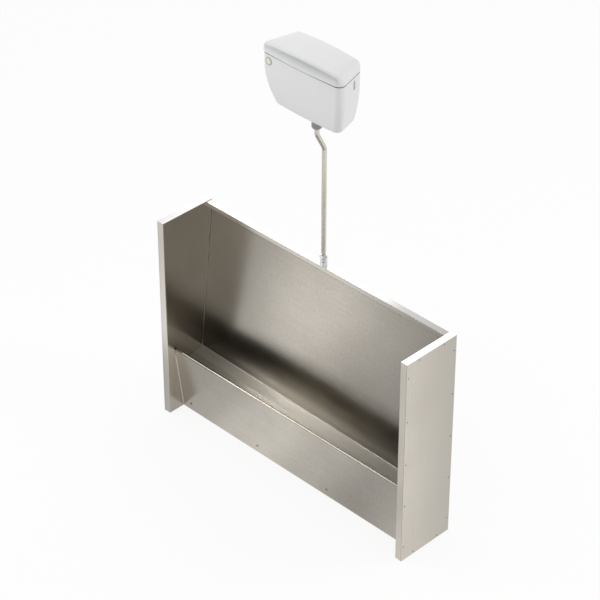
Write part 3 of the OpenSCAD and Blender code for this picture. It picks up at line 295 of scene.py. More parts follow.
# Wall rail and hanging rail
# A pair of folded hooks in mill finish steel: one is screwed to the wall, the other is spot
# welded to the panel's back and drops over it.
MILL_LIGHT = (0.56, 0.55, 0.52, 1.0)
MILL_DARK = (0.47, 0.46, 0.44, 1.0)
MILL_ROUGH = 0.45

mill_steel = ground_steel("steel_mill", 0, MILL_ROUGH, MILL_LIGHT, MILL_DARK)
put_on(mill_steel, "wall_rail", "hanging_rail")

# End panels
# Each end is a tray folded from one sheet, closed outside by a flat skin. The grain runs upwards.
# The top and front edges have a painted highlight, the skin's rear painted shade and the tray a belt
# of painted light, and a painted shadow draws a line where skin and tray meet.
TOP_EDGE_HIGHLIGHT = (1.0, 1.0, 0.98, 1.0)
FRONT_EDGE_HIGHLIGHT_LEFT = (0.8, 0.76, 0.69, 1.0)
FRONT_EDGE_HIGHLIGHT_RIGHT = (0.86, 0.81, 0.72, 1.0)
EDGE_FADE = (0.0004, 0.0008)
TOP_HIGHLIGHT_FADE = (-0.0012, -0.00048)
SKIN_REAR_SHADE = (0.47, 0.44, 0.39, 1.0)
SKIN_FADE = (0.0008, 0.0012)
REAR_START = 1.9
REAR_END = 1.5
SEAM_PAINTED_SHADOW = (0.26, 0.245, 0.215, 1.0)
SEAM_FADE = (0.00033, 0.0011)
BELT_SHEEN_SHARE = 0.3
BELT_LOW_Z = (0.25, 0.4)
BELT_HIGH_Z = (0.55, 0.8)
HAZE_SHARE = 0.6
HAZE_Z = (0.4, 0.8)
MIDDLE_X = (-0.1, 0.1)
skin_low, skin_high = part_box("right_outer_skin")


def front_edge(place):
    """1 on the front edges of the ends, and 0 behind them."""
    return 1 - place.axis("Y").past(skin_low.y, *EDGE_FADE)


def right_end(place):
    """0 on the left end and 1 on the right one."""
    return place.axis("X").between(*MIDDLE_X)


def end_painted_light(place, colour):
    """Painted shade on the skin's rear and along its seam, painted highlights on the top and front
    edges, and a belt of painted light on the tray.

    The rear's limits lie past both edges of the skin, so that it dulls evenly all the way.
    """
    across = abs(place.axis("X"))
    height = place.axis("Z")
    front = front_edge(place)
    seam_shadow = front * (1 - abs(across - skin_low.x).between(*SEAM_FADE))
    outside = across.past(skin_low.x, *SKIN_FADE)
    rear = place.axis("Y").between(REAR_START * skin_low.y, REAR_END * skin_high.y)
    sheen_belt = (1 - outside) * height.between(*BELT_LOW_Z) * (1 - height.between(*BELT_HIGH_Z))
    skin = (outside * rear).mix((BELT_SHEEN_SHARE * sheen_belt).mix(colour, PAINTED_SHEEN), SKIN_REAR_SHADE)
    edge = front.mix(skin, right_end(place).mix(FRONT_EDGE_HIGHLIGHT_LEFT, FRONT_EDGE_HIGHLIGHT_RIGHT))
    return height.past(skin_high.z, *TOP_HIGHLIGHT_FADE).mix(seam_shadow.mix(edge, SEAM_PAINTED_SHADOW), TOP_EDGE_HIGHLIGHT)


def edge_haze(place):
    """Cleaning has hazed the upper half of the right end's front edge."""
    return HAZE_SHARE * front_edge(place) * place.axis("Z").between(*HAZE_Z) * right_end(place)


steel_up = ground_steel("steel_grain_up", 2, marked=end_painted_light, haze=edge_haze)
put_on(steel_up, "left_inner_panel", "right_inner_panel", "left_outer_skin", "right_outer_skin")

# Skin rivets
# Blind rivets with a domed steel flange. The end of the mandrel stays as a small pin in the
# flange's dark hole, and the body of the rivet goes through the skin and the tray's lip.
RIVET_RADIUS = 0.00325
RIVET_HOLE_RADIUS = 0.0012
RIVET_PIN_RADIUS = 0.001
RIVET_BODY_RADIUS = 0.0016
RIVET_HEIGHT = 0.001
RIVET_EDGE_HEIGHT = 0.00025
RIVET_DOME_POWER = 0.7
RIVET_HOLE_FLOOR = 0.0002
RIVET_PIN_SIDE = 0.00075
RIVET_PIN_TOP = 0.0008
RIVET_DOME_ROWS = 6
RIVET_AROUND = 20
RIVET_ROWS = 5
RIVET_LOW = 0.075
RIVET_INSET = 0.012
RIVET_RING_SHADE = (0.04, 0.05, 0.1, 1.0)
RIVET_CROWN_REFLECTION = (0.15, 0.19, 0.33, 1.0)
RIVET_CROWN_FADE = (0.00035, 0.00085)
RIVET_ROUGH = (0.2, 0.14, 700.0)
UPRIGHT = 0.9
MERGE_REACH = 1e-6
CREASE = 35.0
SLAB_DEPTH = skin_high.y - skin_low.y
SLAB_HEIGHT = skin_high.z - skin_low.z


def turned(outline, around):
    """A turned shape: each radius and height of the outline goes once round the z axis."""
    radius, height = np.array(outline, float).T
    angle = np.linspace(0, 2 * np.pi, around, endpoint=False)
    x = np.outer(radius, np.cos(angle))
    y = np.outer(radius, np.sin(angle))
    return np.stack([x, y, np.outer(height, np.ones(around))], axis=-1)


def placed(grid, origin, out=(0, 0, 1), side=None):
    """A grid moved to an origin, with its z axis turned to out and its x axis near side.

    Without a side, its x axis lies near the world's z, or near its x where out is upright.
    """
    z = Vector(out).normalized()
    hint = Vector(side or ((0, 0, 1) if abs(z.z) < UPRIGHT else (1, 0, 0)))
    x = (hint - hint.dot(z) * z).normalized()
    y = z.cross(x)
    return grid @ np.array([x, y, z]) + np.array(origin)


def faced(grid, loop=False, capped=False):
    """Points and faces of a grid. Each row is a ring; loop joins the last row to the first.

    The faces look outwards when the rows rise and their points run counter-clockwise.
    """
    rows, columns = grid.shape[:2]
    index = np.arange(rows * columns).reshape(rows, columns)
    table = np.vstack([index, index[:1]]) if loop else index
    table = np.hstack([table, table[:, :1]])
    corners = (table[:-1, :-1], table[:-1, 1:], table[1:, 1:], table[1:, :-1])
    quads = np.stack(corners, axis=-1).reshape(-1, 4)
    caps = [index[0, ::-1].tolist(), index[-1].tolist()] if capped else []
    return grid.reshape(-1, 3), quads, caps


def made_piece(name, body, finish, parts, crease=CREASE):
    """One object of several faced grids: doubles merged, smooth but for creases, riding a body."""
    points, faces, start = [], [], 0
    for part_points, quads, caps in parts:
        points.append(part_points)
        faces += (quads + start).tolist()
        faces += [[corner + start for corner in cap] for cap in caps]
        start += len(part_points)
    data = bpy.data.meshes.new(name)
    data.from_pydata(np.concatenate(points), [], faces)
    merged = bmesh.new()
    merged.from_mesh(data)
    bmesh.ops.remove_doubles(merged, verts=merged.verts, dist=MERGE_REACH)
    merged.to_mesh(data)
    merged.free()
    data.shade_smooth()
    data.set_sharp_from_angle(angle=math.radians(crease))
    data.materials.append(finish)
    piece = bpy.data.objects.new(name, data)
    bpy.context.scene.collection.objects.link(piece)
    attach(piece, body)
    return piece


def rivet_outline(reach):
    """Body, flange dome, hole and pin of a rivet, from the inner end of its body to its middle."""
    dome = np.linspace(0.0, 1.0, RIVET_DOME_ROWS)
    radius = RIVET_RADIUS + (RIVET_HOLE_RADIUS - RIVET_RADIUS) * dome
    bulge = np.sin(0.5 * np.pi * dome) ** RIVET_DOME_POWER
    flange = np.column_stack([radius, RIVET_EDGE_HEIGHT + (RIVET_HEIGHT - RIVET_EDGE_HEIGHT) * bulge])
    body = [[0, -reach], [RIVET_BODY_RADIUS, -reach], [RIVET_BODY_RADIUS, 0], [RIVET_RADIUS, 0]]
    hole = [[RIVET_HOLE_RADIUS, RIVET_HOLE_FLOOR], [RIVET_PIN_RADIUS, RIVET_HOLE_FLOOR]]
    pin = [[RIVET_PIN_RADIUS, RIVET_PIN_SIDE], [0, RIVET_PIN_TOP]]
    return body + flange.tolist() + hole + pin


# The rivets' colours are painted: a near black painted shade low round the flange and a bluish painted
# reflection on its crown.
rivet_steel, place, shader = new_finish("rivet_steel", Metallic=1.0)
raised = abs(place.axis("X")).past(skin_high.x, *RIVET_CROWN_FADE)
wear(shader, Base_Color=raised.mix(RIVET_RING_SHADE, RIVET_CROWN_REFLECTION))
wear(shader, Roughness=place.patches(*RIVET_ROUGH))

rivet_rows = np.linspace(RIVET_LOW, SLAB_HEIGHT - RIVET_LOW, RIVET_ROWS)
rivet_column = SLAB_DEPTH / 2 - RIVET_INSET
rivet_spots = [(side * rivet_column, z) for side in (-1, 1) for z in rivet_rows]
rivet_ends = (RIVET_INSET, SLAB_HEIGHT - RIVET_INSET)
rivet_spots += [(side * SLAB_DEPTH / 4, z) for side in (-1, 1) for z in rivet_ends]
for name, side in (("left_skin_rivets", -1), ("right_skin_rivets", 1)):
    low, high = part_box(name)
    reach = high.x - low.x - RIVET_HEIGHT
    head = turned(rivet_outline(reach), RIVET_AROUND)
    spots = [(side * skin_high.x, y, z) for y, z in rivet_spots]
    rivets = [faced(placed(head, spot, (side, 0, 0))) for spot in spots]
    piece = made_piece(name + "_domed", "urinal", rivet_steel, rivets)
    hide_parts(name)

# Trough
# A separate folded tray of the same steel, let in between the ends and welded all round. Its floor
# falls to the right, where a cup is pressed in it for the waste.
TROUGH_LIGHT = (0.93, 0.875, 0.78, 1.0)
TROUGH_DARK = (0.84, 0.785, 0.69, 1.0)
# Painted shade darkens the trough's floor at its left end and towards its right.
TROUGH_RIGHT_SHADE = (0.32, 0.3, 0.26, 1.0)
TROUGH_LEFT_SHADE = (0.36, 0.335, 0.295, 1.0)
TROUGH_RIGHT_SHADE_X = (-0.25, 0.5)
TROUGH_LEFT_SHADE_X = (-0.62, -0.3)
TROUGH_ROUGH = 0.3
TROUGH_METAL = 0.55


def trough_painted_shade(place, colour):
    """Painted shade on the trough, darker at its left end and towards its right."""
    across = place.axis("X")
    left = across.between(*TROUGH_LEFT_SHADE_X).mix(TROUGH_LEFT_SHADE, colour)
    return across.between(*TROUGH_RIGHT_SHADE_X).mix(left, TROUGH_RIGHT_SHADE)


trough_steel = ground_steel("steel_trough", 0, TROUGH_ROUGH, TROUGH_LIGHT, TROUGH_DARK,
                            trough_painted_shade, TROUGH_METAL)
put_on(trough_steel, "trough")

# Apron
# The front sheet leans out from the floor and rolls over at the top into a narrow nose, which is
# what the hand and the shoe meet. Its ends are welded to the end panels.
# Painted shade dulls the rolled nose towards its left end.
NOSE_PAINTED_SHADE = (0.3, 0.285, 0.26, 1.0)
NOSE_FADE = (-0.014, -0.004)
NOSE_SHADE_X = (-0.6, -0.25)
APRON_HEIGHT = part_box("apron")[1].z


def painted_nose_shade(place, colour):
    """Painted shade on the rolled nose towards its left end."""
    nose = place.axis("Z").past(APRON_HEIGHT, *NOSE_FADE)
    left = 1 - place.axis("X").between(*NOSE_SHADE_X)
    return (nose * left).mix(colour, NOSE_PAINTED_SHADE)


put_on(ground_steel("steel_apron", 0, marked=painted_nose_shade), "apron")

# Dressed welds
# TIG beads where the trough meets the back panel, and where that panel and the apron meet the ends.
# They are ground back, with a painted highlight up to the trough's rear edge and painted shade above it.
BEAD_RADIUS = 0.0018
BEAD_PITCH = 0.0032
BEAD_STEPS = 4
BEAD_AROUND = 10
BEAD_RIPPLE_SHARE = 0.07
BEAD_CRESCENT = 1.4
BEAD_CREASE = 60.0
HOOD_BEAD_IN = 0.0035
HOOD_BEAD_DROP = 0.004
APRON_BEAD_LIFT = 0.003
APRON_BEAD_DROP = 0.005
BEAD_PAINTED_HIGHLIGHT = (0.95, 0.93, 0.88, 1.0)
BEAD_SHADE_LIGHT = (0.46, 0.43, 0.38, 1.0)
BEAD_SHADE_DARK = (0.34, 0.315, 0.275, 1.0)
BEAD_TINT_SCALE = 45.0
BEAD_TINT = (0.35, 0.7)
BEAD_SHADE_FADE = (0.004, 0.05)
BEAD_ROUGH = (0.3, 0.1, 350.0)
TROUGH_FALL = math.radians(1)
APRON_FOOT_DEPTH = 0.212
APRON_TOP_DEPTH = 0.258
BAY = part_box("right_inner_panel")[0].x
APRON_LEAN = math.atan((APRON_TOP_DEPTH - APRON_FOOT_DEPTH) / APRON_HEIGHT)


def bead(start, end):
    """A weld bead along a line: a round bar, half sunk in the joint, whose radius ripples.

    The radius is the bead's own times 1 plus the ripple times a cosine of the distance along, and
    the cosine is put back at the bead's sides, so that the ripples are crescents.
    """
    start, end = Vector(start), Vector(end)
    length = (end - start).length
    rows = int(length / BEAD_PITCH) * BEAD_STEPS
    along = np.linspace(0.0, length, rows)[:, None]
    angle = np.linspace(0, 2 * np.pi, BEAD_AROUND, endpoint=False)[None, :]
    phase = 2 * np.pi * along / BEAD_PITCH + BEAD_CRESCENT * np.cos(2 * angle)
    radius = BEAD_RADIUS * (1 + BEAD_RIPPLE_SHARE * np.cos(phase))
    grid = np.stack([radius * np.cos(angle), radius * np.sin(angle), along + 0 * angle], axis=-1)
    return faced(placed(grid, start, end - start), capped=True)


def rear_seam(x):
    """The point at x where the trough's rear upstand meets the back panel."""
    z = TROUGH_REAR_Z - (x + BAY) * math.tan(TROUGH_FALL)
    return x, WALL - TROUGH_BACK_DEPTH - (TROUGH_REAR_Z - z) * math.tan(PANEL_LEAN), z


weld_painted_light, place, shader = new_finish("weld_painted_light", Metallic=1.0)
tint = place.noise(BEAD_TINT_SCALE, GRAIN_DETAIL).between(*BEAD_TINT)
# A painted highlight on the beads up to the trough's rear edge, and painted shade above it.
upper_shade = place.axis("Z").past(TROUGH_REAR_Z, *BEAD_SHADE_FADE)
wear(shader, Base_Color=upper_shade.mix(BEAD_PAINTED_HIGHLIGHT, tint.mix(BEAD_SHADE_LIGHT, BEAD_SHADE_DARK)))
wear(shader, Roughness=place.patches(*BEAD_ROUGH))

hood_corner_y = panel_high.y - HOOD_BEAD_IN
apron_foot_y = WALL - APRON_FOOT_DEPTH
apron_top_y = WALL - APRON_TOP_DEPTH
beads = [bead(rear_seam(-BAY), rear_seam(BAY))]
for side in (-1, 1):
    corner = side * BAY
    beads.append(bead(rear_seam(corner), (corner, hood_corner_y, HOOD_Z - HOOD_BEAD_DROP)))
    beads.append(bead((corner, apron_foot_y, APRON_BEAD_LIFT),
                      (corner, apron_top_y, APRON_HEIGHT - APRON_BEAD_DROP)))
made_piece("dressed_welds", "urinal", weld_painted_light, beads, BEAD_CREASE)

# Floor rail
# A bent angle of mill finish steel behind the apron's foot, screwed down to the floor through its
# own foot. The apron's screws run into its upright side.
put_on(mill_steel, "floor_rail")

# Apron screws
# Four pan head screws with a cross recess hold the apron to the floor rail. They are stainless,
# turned bright, with a rolled thread.
SCREW_COUNT = 4
SCREW_INSET = 0.056
SCREW_UP = 0.040
SCREW_HEAD_RADIUS = 0.006
SCREW_HEAD_HEIGHT = 0.0036
SCREW_EDGE_HEIGHT = 0.0014
SCREW_SHANK_RADIUS = 0.00275
SCREW_SHANK_LENGTH = 0.006
SCREW_PITCH = 0.0018
SCREW_THREAD_DEPTH = 0.0006
SCREW_LAND = 0.0002
SCREW_AROUND = 64
SHANK_ROWS = 30
CROWN_ROWS = 28
RECESS_ARM = 0.0031
RECESS_HALF_WIDTH = 0.00075
RECESS_DEPTH = 0.0022
RECESS_EDGE = 0.0003
SCREW_LIGHT = (0.74, 0.74, 0.75, 1.0)
SCREW_DARK = (0.07, 0.07, 0.08, 1.0)
SCREW_PATCH_SCALE = 420.0
SCREW_DARK_LIMITS = (0.3, 0.75)
SCREW_ROUGH = (0.2, 0.15, 300.0)


def threaded(grid, pitch, depth):
    """A turned grid whose radius is cut back along a helix.

    The cut is the depth times the distance, in half pitches, from the nearest crest, where the
    crest climbs one pitch a turn. Rows run along z.
    """
    x, y, z = np.moveaxis(grid, -1, 0)
    turn = z / pitch - np.arctan2(y, x) / (2 * np.pi)
    cut = depth * np.abs(2 * (turn - np.floor(turn)) - 1)
    share = 1 - cut / np.hypot(x, y)
    return np.stack([x * share, y * share, z], axis=-1)


def recessed(grid):
    """The top of a screw's head with a cross sunk in it, deepest where its two arms cross."""
    x, y, z = np.moveaxis(grid, -1, 0)
    across, along = np.minimum(abs(x), abs(y)), np.maximum(abs(x), abs(y))
    inside = np.clip((RECESS_HALF_WIDTH - across) / RECESS_EDGE, 0, 1)
    reach = np.clip((RECESS_ARM - along) / RECESS_ARM, 0, 1) ** 0.5
    return np.stack([x, y, z - RECESS_DEPTH * inside * reach], axis=-1)


shank_rise = np.linspace(-SCREW_SHANK_LENGTH, 0, SHANK_ROWS)
shank = np.column_stack([np.full(SHANK_ROWS, SCREW_SHANK_RADIUS), shank_rise])
crown_angle = np.linspace(0, np.pi / 2, CROWN_ROWS)
crown_radius = SCREW_HEAD_RADIUS * np.cos(crown_angle)
crown_height = SCREW_EDGE_HEIGHT + (SCREW_HEAD_HEIGHT - SCREW_EDGE_HEIGHT) * np.sin(crown_angle)
crown = np.column_stack([crown_radius, crown_height])
screw = np.concatenate([
    turned([[0, -SCREW_SHANK_LENGTH]], SCREW_AROUND),
    threaded(turned(shank, SCREW_AROUND), SCREW_PITCH, SCREW_THREAD_DEPTH),
    turned([[SCREW_HEAD_RADIUS, SCREW_LAND]], SCREW_AROUND),
    recessed(turned(crown, SCREW_AROUND))])
apron_up = Vector((0, -math.sin(APRON_LEAN), math.cos(APRON_LEAN)))
apron_out = Vector((0, -math.cos(APRON_LEAN), -math.sin(APRON_LEAN)))
screw_reach = BAY - SCREW_INSET
screws = []
for x in np.linspace(-screw_reach, screw_reach, SCREW_COUNT):
    spot = Vector((x, apron_foot_y, 0)) + apron_up * SCREW_UP / math.cos(APRON_LEAN)
    screws.append(faced(placed(screw, spot, apron_out, apron_up)))

screw_steel, place, shader = new_finish("screw_steel", Metallic=1.0)
dark = place.noise(SCREW_PATCH_SCALE).between(*SCREW_DARK_LIMITS)
wear(shader, Base_Color=dark.mix(SCREW_LIGHT, SCREW_DARK))
wear(shader, Roughness=place.patches(*SCREW_ROUGH))
piece = made_piece("apron_screws_crossed", "urinal", screw_steel, screws)
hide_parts("apron_screws")

# Sparge pipe
# A drilled tube under the hood that wets the whole panel. It hangs from two welded clips and has a
# plated plug pressed in each end.
CHROME_LIGHT = (0.9, 0.9, 0.92, 1.0)
CHROME_DARK = (0.8, 0.81, 0.84, 1.0)
CHROME_METAL = 0.75
CHROME_PATCH_SCALE = 90.0
CHROME_ROUGH = (0.05, 0.07, 240.0)


def mottled(name, light, dark, scale, rough, metal=1.0):
    """Soft patches of two colours on that scale; rough is the least, the swing and the scale."""
    material, place, shader = new_finish(name, Metallic=metal)
    wear(shader, Base_Color=place.noise(scale).mix(light, dark))
    wear(shader, Roughness=place.patches(*rough))
    return material, place, shader


chrome = mottled("chrome", CHROME_LIGHT, CHROME_DARK, CHROME_PATCH_SCALE, CHROME_ROUGH, CHROME_METAL)[0]
put_on(steel_across, "sparge_pipe", "sparge_clips")
put_on(chrome, "sparge_end_plugs")

# Inlet coupling
# Chrome plated brass: a swivel nut pulls the body down onto the sparge pipe's spigot, and a
# compression nut above grips the flush pipe with a brass olive. The hexagons are turned off at 30
# degrees, and the body's barrel has a rolled thread.
HEX_TURN_OFF = math.radians(30)
HEX_FACE_SHARE = 0.95
HEX_CUT_ROWS = 9
BARREL_ROWS = 84
COUPLING_AROUND = 96
COUPLING_CREASE = 25.0
LEAST_SIZE = 1e-9
SPIGOT_CLEAR = 0.0105
NECK_CLEAR = 0.00875
FLANGE_RADIUS = 0.0104
FLANGE_HEIGHT = 0.003
NECK_RADIUS = 0.0087
COUPLING_BORE = 0.0075
BARREL_RADIUS = 0.014
BARREL_PITCH = 0.0018
BARREL_THREAD_DEPTH = 0.0009
SWIVEL_ACROSS = 0.034
BODY_ACROSS = 0.032
COLLAR = 0.0025
BODY_HEX_HEIGHT = 0.012
BRASS_LIGHT = (0.78, 0.6, 0.28, 1.0)
BRASS_DARK = (0.62, 0.45, 0.2, 1.0)
BRASS_PATCH_SCALE = 120.0
BRASS_ROUGH = (0.26, 0.12, 300.0)
RUBBER_LIGHT = (0.05, 0.05, 0.05, 1.0)
RUBBER_DARK = (0.03, 0.03, 0.03, 1.0)
RUBBER_PATCH_SCALE = 60.0
RUBBER_ROUGH = (0.62, 0.2, 140.0)
RUBBER_GRAIN = 1800.0
RUBBER_STRENGTH = 0.3
RUBBER_DEPTH = 0.0001
FLUSH_RADIUS = 0.011


def hexed(grid, across):
    """Flats on a turned grid: no point lies further out than the hexagon's side at its angle."""
    x, y, z = np.moveaxis(grid, -1, 0)
    radius, angle = np.hypot(x, y), np.arctan2(y, x)
    side = across / 2 / np.cos(np.mod(angle, np.pi / 3) - np.pi / 6)
    share = np.minimum(1, side / np.maximum(radius, LEAST_SIZE))
    return np.stack([x * share, y * share, z], axis=-1)


def hex_outline(across, low, high):
    """Outside of a hexagon from its lower face to its upper one, both turned off to a cone."""
    corner = across / 2 / math.cos(math.pi / 6)
    face = HEX_FACE_SHARE * across / 2
    radius = np.linspace(face, corner, HEX_CUT_ROWS)
    rise = (radius - face) * math.tan(HEX_TURN_OFF)
    lower = np.column_stack([radius, low + rise])
    upper = np.column_stack([radius, high - rise])[::-1]
    return np.concatenate([lower, upper]).tolist()


def hex_nut(box, lower_bore, upper_bore):
    """A nut that fills a box in height and whose bore changes at a collar under its top.

    It is one closed ring of a surface: up the outside and down the bore.
    """
    low, high = box[0].z, box[1].z
    step = high - COLLAR
    bore = [[upper_bore, high], [upper_bore, step], [lower_bore, step], [lower_bore, low]]
    return hexed(turned(hex_outline(SWIVEL_ACROSS, low, high) + bore, COUPLING_AROUND), SWIVEL_ACROSS)


body_low, body_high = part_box("coupling_body")
pipe_low, pipe_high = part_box("flush_pipe")
INLET_Y = pipe_high.y - FLUSH_RADIUS
hex_z = pipe_low.z - COLLAR
barrel_z = hex_z + BODY_HEX_HEIGHT
flange_z = body_low.z + FLANGE_HEIGHT
lower = [[COUPLING_BORE, body_low.z], [FLANGE_RADIUS, body_low.z], [FLANGE_RADIUS, flange_z],
         [NECK_RADIUS, flange_z], [NECK_RADIUS, hex_z]]
barrel_rise = np.linspace(barrel_z, body_high.z, BARREL_ROWS)
barrel = np.column_stack([np.full(BARREL_ROWS, BARREL_RADIUS), barrel_rise])
bore = [[FLUSH_RADIUS, body_high.z], [FLUSH_RADIUS, pipe_low.z], [COUPLING_BORE, pipe_low.z]]
coupling = np.concatenate([
    turned(lower, COUPLING_AROUND),
    hexed(turned(hex_outline(BODY_ACROSS, hex_z, barrel_z), COUPLING_AROUND), BODY_ACROSS),
    threaded(turned(barrel, COUPLING_AROUND), BARREL_PITCH, BARREL_THREAD_DEPTH),
    turned(bore, COUPLING_AROUND)])
swivel = hex_nut(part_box("swivel_nut"), SPIGOT_CLEAR, NECK_CLEAR)
clamp = hex_nut(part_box("compression_nut"), BARREL_RADIUS, FLUSH_RADIUS)
for node, grid in (("swivel_nut", swivel), ("coupling_body", coupling), ("compression_nut", clamp)):
    part = faced(placed(grid, (0, INLET_Y, 0)), loop=True)
    piece = made_piece(node + "_turned", "urinal", chrome, [part], COUPLING_CREASE)
    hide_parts(node)

brass = mottled("brass", BRASS_LIGHT, BRASS_DARK, BRASS_PATCH_SCALE, BRASS_ROUGH)[0]
put_on(brass, "inlet_back_nut", "compression_olive")

rubber, place, shader = mottled("rubber", RUBBER_LIGHT, RUBBER_DARK, RUBBER_PATCH_SCALE, RUBBER_ROUGH, 0.0)
wear(shader, Normal=place.noise(RUBBER_GRAIN).bumped(RUBBER_STRENGTH, RUBBER_DEPTH))
put_on(rubber, "inlet_washer")

# Flush pipe
# Stainless tube of 22 mm, straight up the wall and then bent out to the cistern's tail in a swan
# neck. It is drawn tube, so its grain runs along it, and its ends are cut square and deburred.
PIPE_WALL = 0.0012
SWAN_Z = 1.632
SWAN_ANGLE = math.radians(28)
SWAN_RADIUS = 0.045
PIPE_AROUND = 40
STRAIGHT_ROWS = 24
BEND_ROWS = 20
TAIL_ROWS = 4
PIPE_ROUGH = 0.26
PIPE_LIGHT = (0.72, 0.68, 0.61, 1.0)
PIPE_DARK = (0.62, 0.58, 0.51, 1.0)


def swept(spine, lean, radius):
    """Rings about a spine in the plane of y and z, each square to the spine's lean there."""
    angle = np.linspace(0, 2 * np.pi, PIPE_AROUND, endpoint=False)[None, :]
    x = radius * np.cos(angle) + 0 * lean[:, None]
    out = radius * np.sin(angle)
    y = spine[:, :1] + out * np.cos(lean)[:, None]
    z = spine[:, 1:] + out * np.sin(lean)[:, None]
    return np.stack([x, y, z], axis=-1)


swan_shift = INLET_Y - (pipe_low.y + FLUSH_RADIUS)
swan_cut = SWAN_RADIUS * math.tan(SWAN_ANGLE / 2)
swan_slope = swan_shift / math.sin(SWAN_ANGLE) - 2 * swan_cut
first_z = SWAN_Z - swan_cut
bend = np.linspace(0, SWAN_ANGLE, BEND_ROWS)
first_bend = np.column_stack([INLET_Y - SWAN_RADIUS + SWAN_RADIUS * np.cos(bend),
                              first_z + SWAN_RADIUS * np.sin(bend)])
slope_way = np.array([-math.sin(SWAN_ANGLE), math.cos(SWAN_ANGLE)])
slope_end = first_bend[-1] + swan_slope * slope_way
last_centre = slope_end + SWAN_RADIUS * np.array([math.cos(SWAN_ANGLE), math.sin(SWAN_ANGLE)])
last_bend = last_centre - SWAN_RADIUS * np.column_stack([np.cos(bend[::-1]), np.sin(bend[::-1])])
straight = np.linspace(pipe_low.z, first_z, STRAIGHT_ROWS, endpoint=False)
tail_y, tail_z = last_bend[-1]
tail = np.linspace(tail_z, pipe_high.z, TAIL_ROWS + 1)[1:]
spine = np.concatenate([
    np.column_stack([np.full(STRAIGHT_ROWS, INLET_Y), straight]), first_bend,
    last_bend, np.column_stack([np.full(TAIL_ROWS, tail_y), tail])])
lean = np.concatenate([np.zeros(STRAIGHT_ROWS), bend, bend[::-1], np.zeros(TAIL_ROWS)])
outside = swept(spine, lean, FLUSH_RADIUS)
inside = swept(spine, lean, FLUSH_RADIUS - PIPE_WALL)[::-1]
drawn_steel = ground_steel("steel_drawn_tube", 2, PIPE_ROUGH, PIPE_LIGHT, PIPE_DARK)
piece = made_piece("flush_pipe_bent", "urinal", drawn_steel,
                   [faced(np.concatenate([outside, inside]), loop=True)])
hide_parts("flush_pipe")

# Cistern
# A high level automatic cistern moulded in white plastic: a wide body with a bowed front whose
# sides draw in to the base. It has holes for the lever, the inlet, the siphon and the wall screws,
# and a thin grey blank closes the knock-out in its right side.
CISTERN_WIDTH = 0.460
CISTERN_REAR_WIDTH = 0.362
CISTERN_DEPTH = 0.162
CISTERN_BOW = 0.008
CISTERN_HEIGHT = 0.245
BAND_HEIGHT = 0.066
BASE_WIDTH = 0.376
BASE_DEPTH = 0.128
CORNER_RADIUS = 0.028
REAR_RADIUS = 0.010
LEAST_RADIUS = 0.0015
BASE_RADIUS = 0.014
PLASTIC_WALL = 0.003
BULGE_POWER = 1.7
BOW_SHARE = 0.62
RIM_FLAT = 0.010
RIM_RING_INSET = 0.0067
RIM_RING_WALL = 0.002
RIM_RING_HEIGHT = 0.008
CORNER_STEPS = 12
REAR_STEPS = 6
BOW_STEPS = 16
SIDE_STEPS = 10
BASE_ROWS = 9
OUTER_ROWS = 26
INNER_ROWS = 20
SLOT_AROUND = 48
DRILL_AROUND = 48
DRILL_REACH = 0.02
WALL_HOLE_RADIUS = 0.004
WALL_HOLE_APART = 0.240
WALL_HOLE_DROP = 0.040
SLOT_WIDTH = 0.017
SLOT_HEIGHT = 0.044
SLOT_DROP = 0.036
SLOT_DEPTH = 0.052
PLUG_HOLE_RADIUS = 0.011
PLUG_INSET = 0.052
PLUG_DROP = 0.030
INLET_RADIUS = 0.0105
INLET_DROP = 0.038
INLET_DEPTH = 0.074
TAIL_RADIUS = 0.0165
BLANK_DEPTHS = (-0.0028, -0.0012)
BLANK_SHARE = 0.99
BLANK_PALE = (0.5, 0.51, 0.52, 1.0)
BLANK_DARK = (0.4, 0.41, 0.42, 1.0)
# A painted shadow darkens the body and the lid along the gap between them.
GAP_SHADOW_LIFT = 0.0025
GAP_SHADOW_FADE = (0.00168, 0.0042)
RIM_PAINTED_SHADOW = (0.16, 0.165, 0.17, 1.0)
WHITE_LIGHT = (0.83, 0.84, 0.83, 1.0)
WHITE_SHADE = (0.79, 0.8, 0.79, 1.0)
WHITE_ROUGH = 0.3
BLANK_ROUGH = 0.4
PLASTIC_INDEX = 1.49
PLASTIC_PATCH_SCALE = 4.0
PLASTIC_GRAIN = 900.0
PLASTIC_STRENGTH = 0.2
PLASTIC_DEPTH = 0.00004
GLOSS_PATCH_SCALE = 30.0
GLOSS_SWING = 0.08
CISTERN_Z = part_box("cistern_body")[0].z
RIM_Z = CISTERN_Z + CISTERN_HEIGHT
siphon_low, siphon_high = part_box("siphon_back_nut")
SIPHON_Y = (siphon_low.y + siphon_high.y) / 2


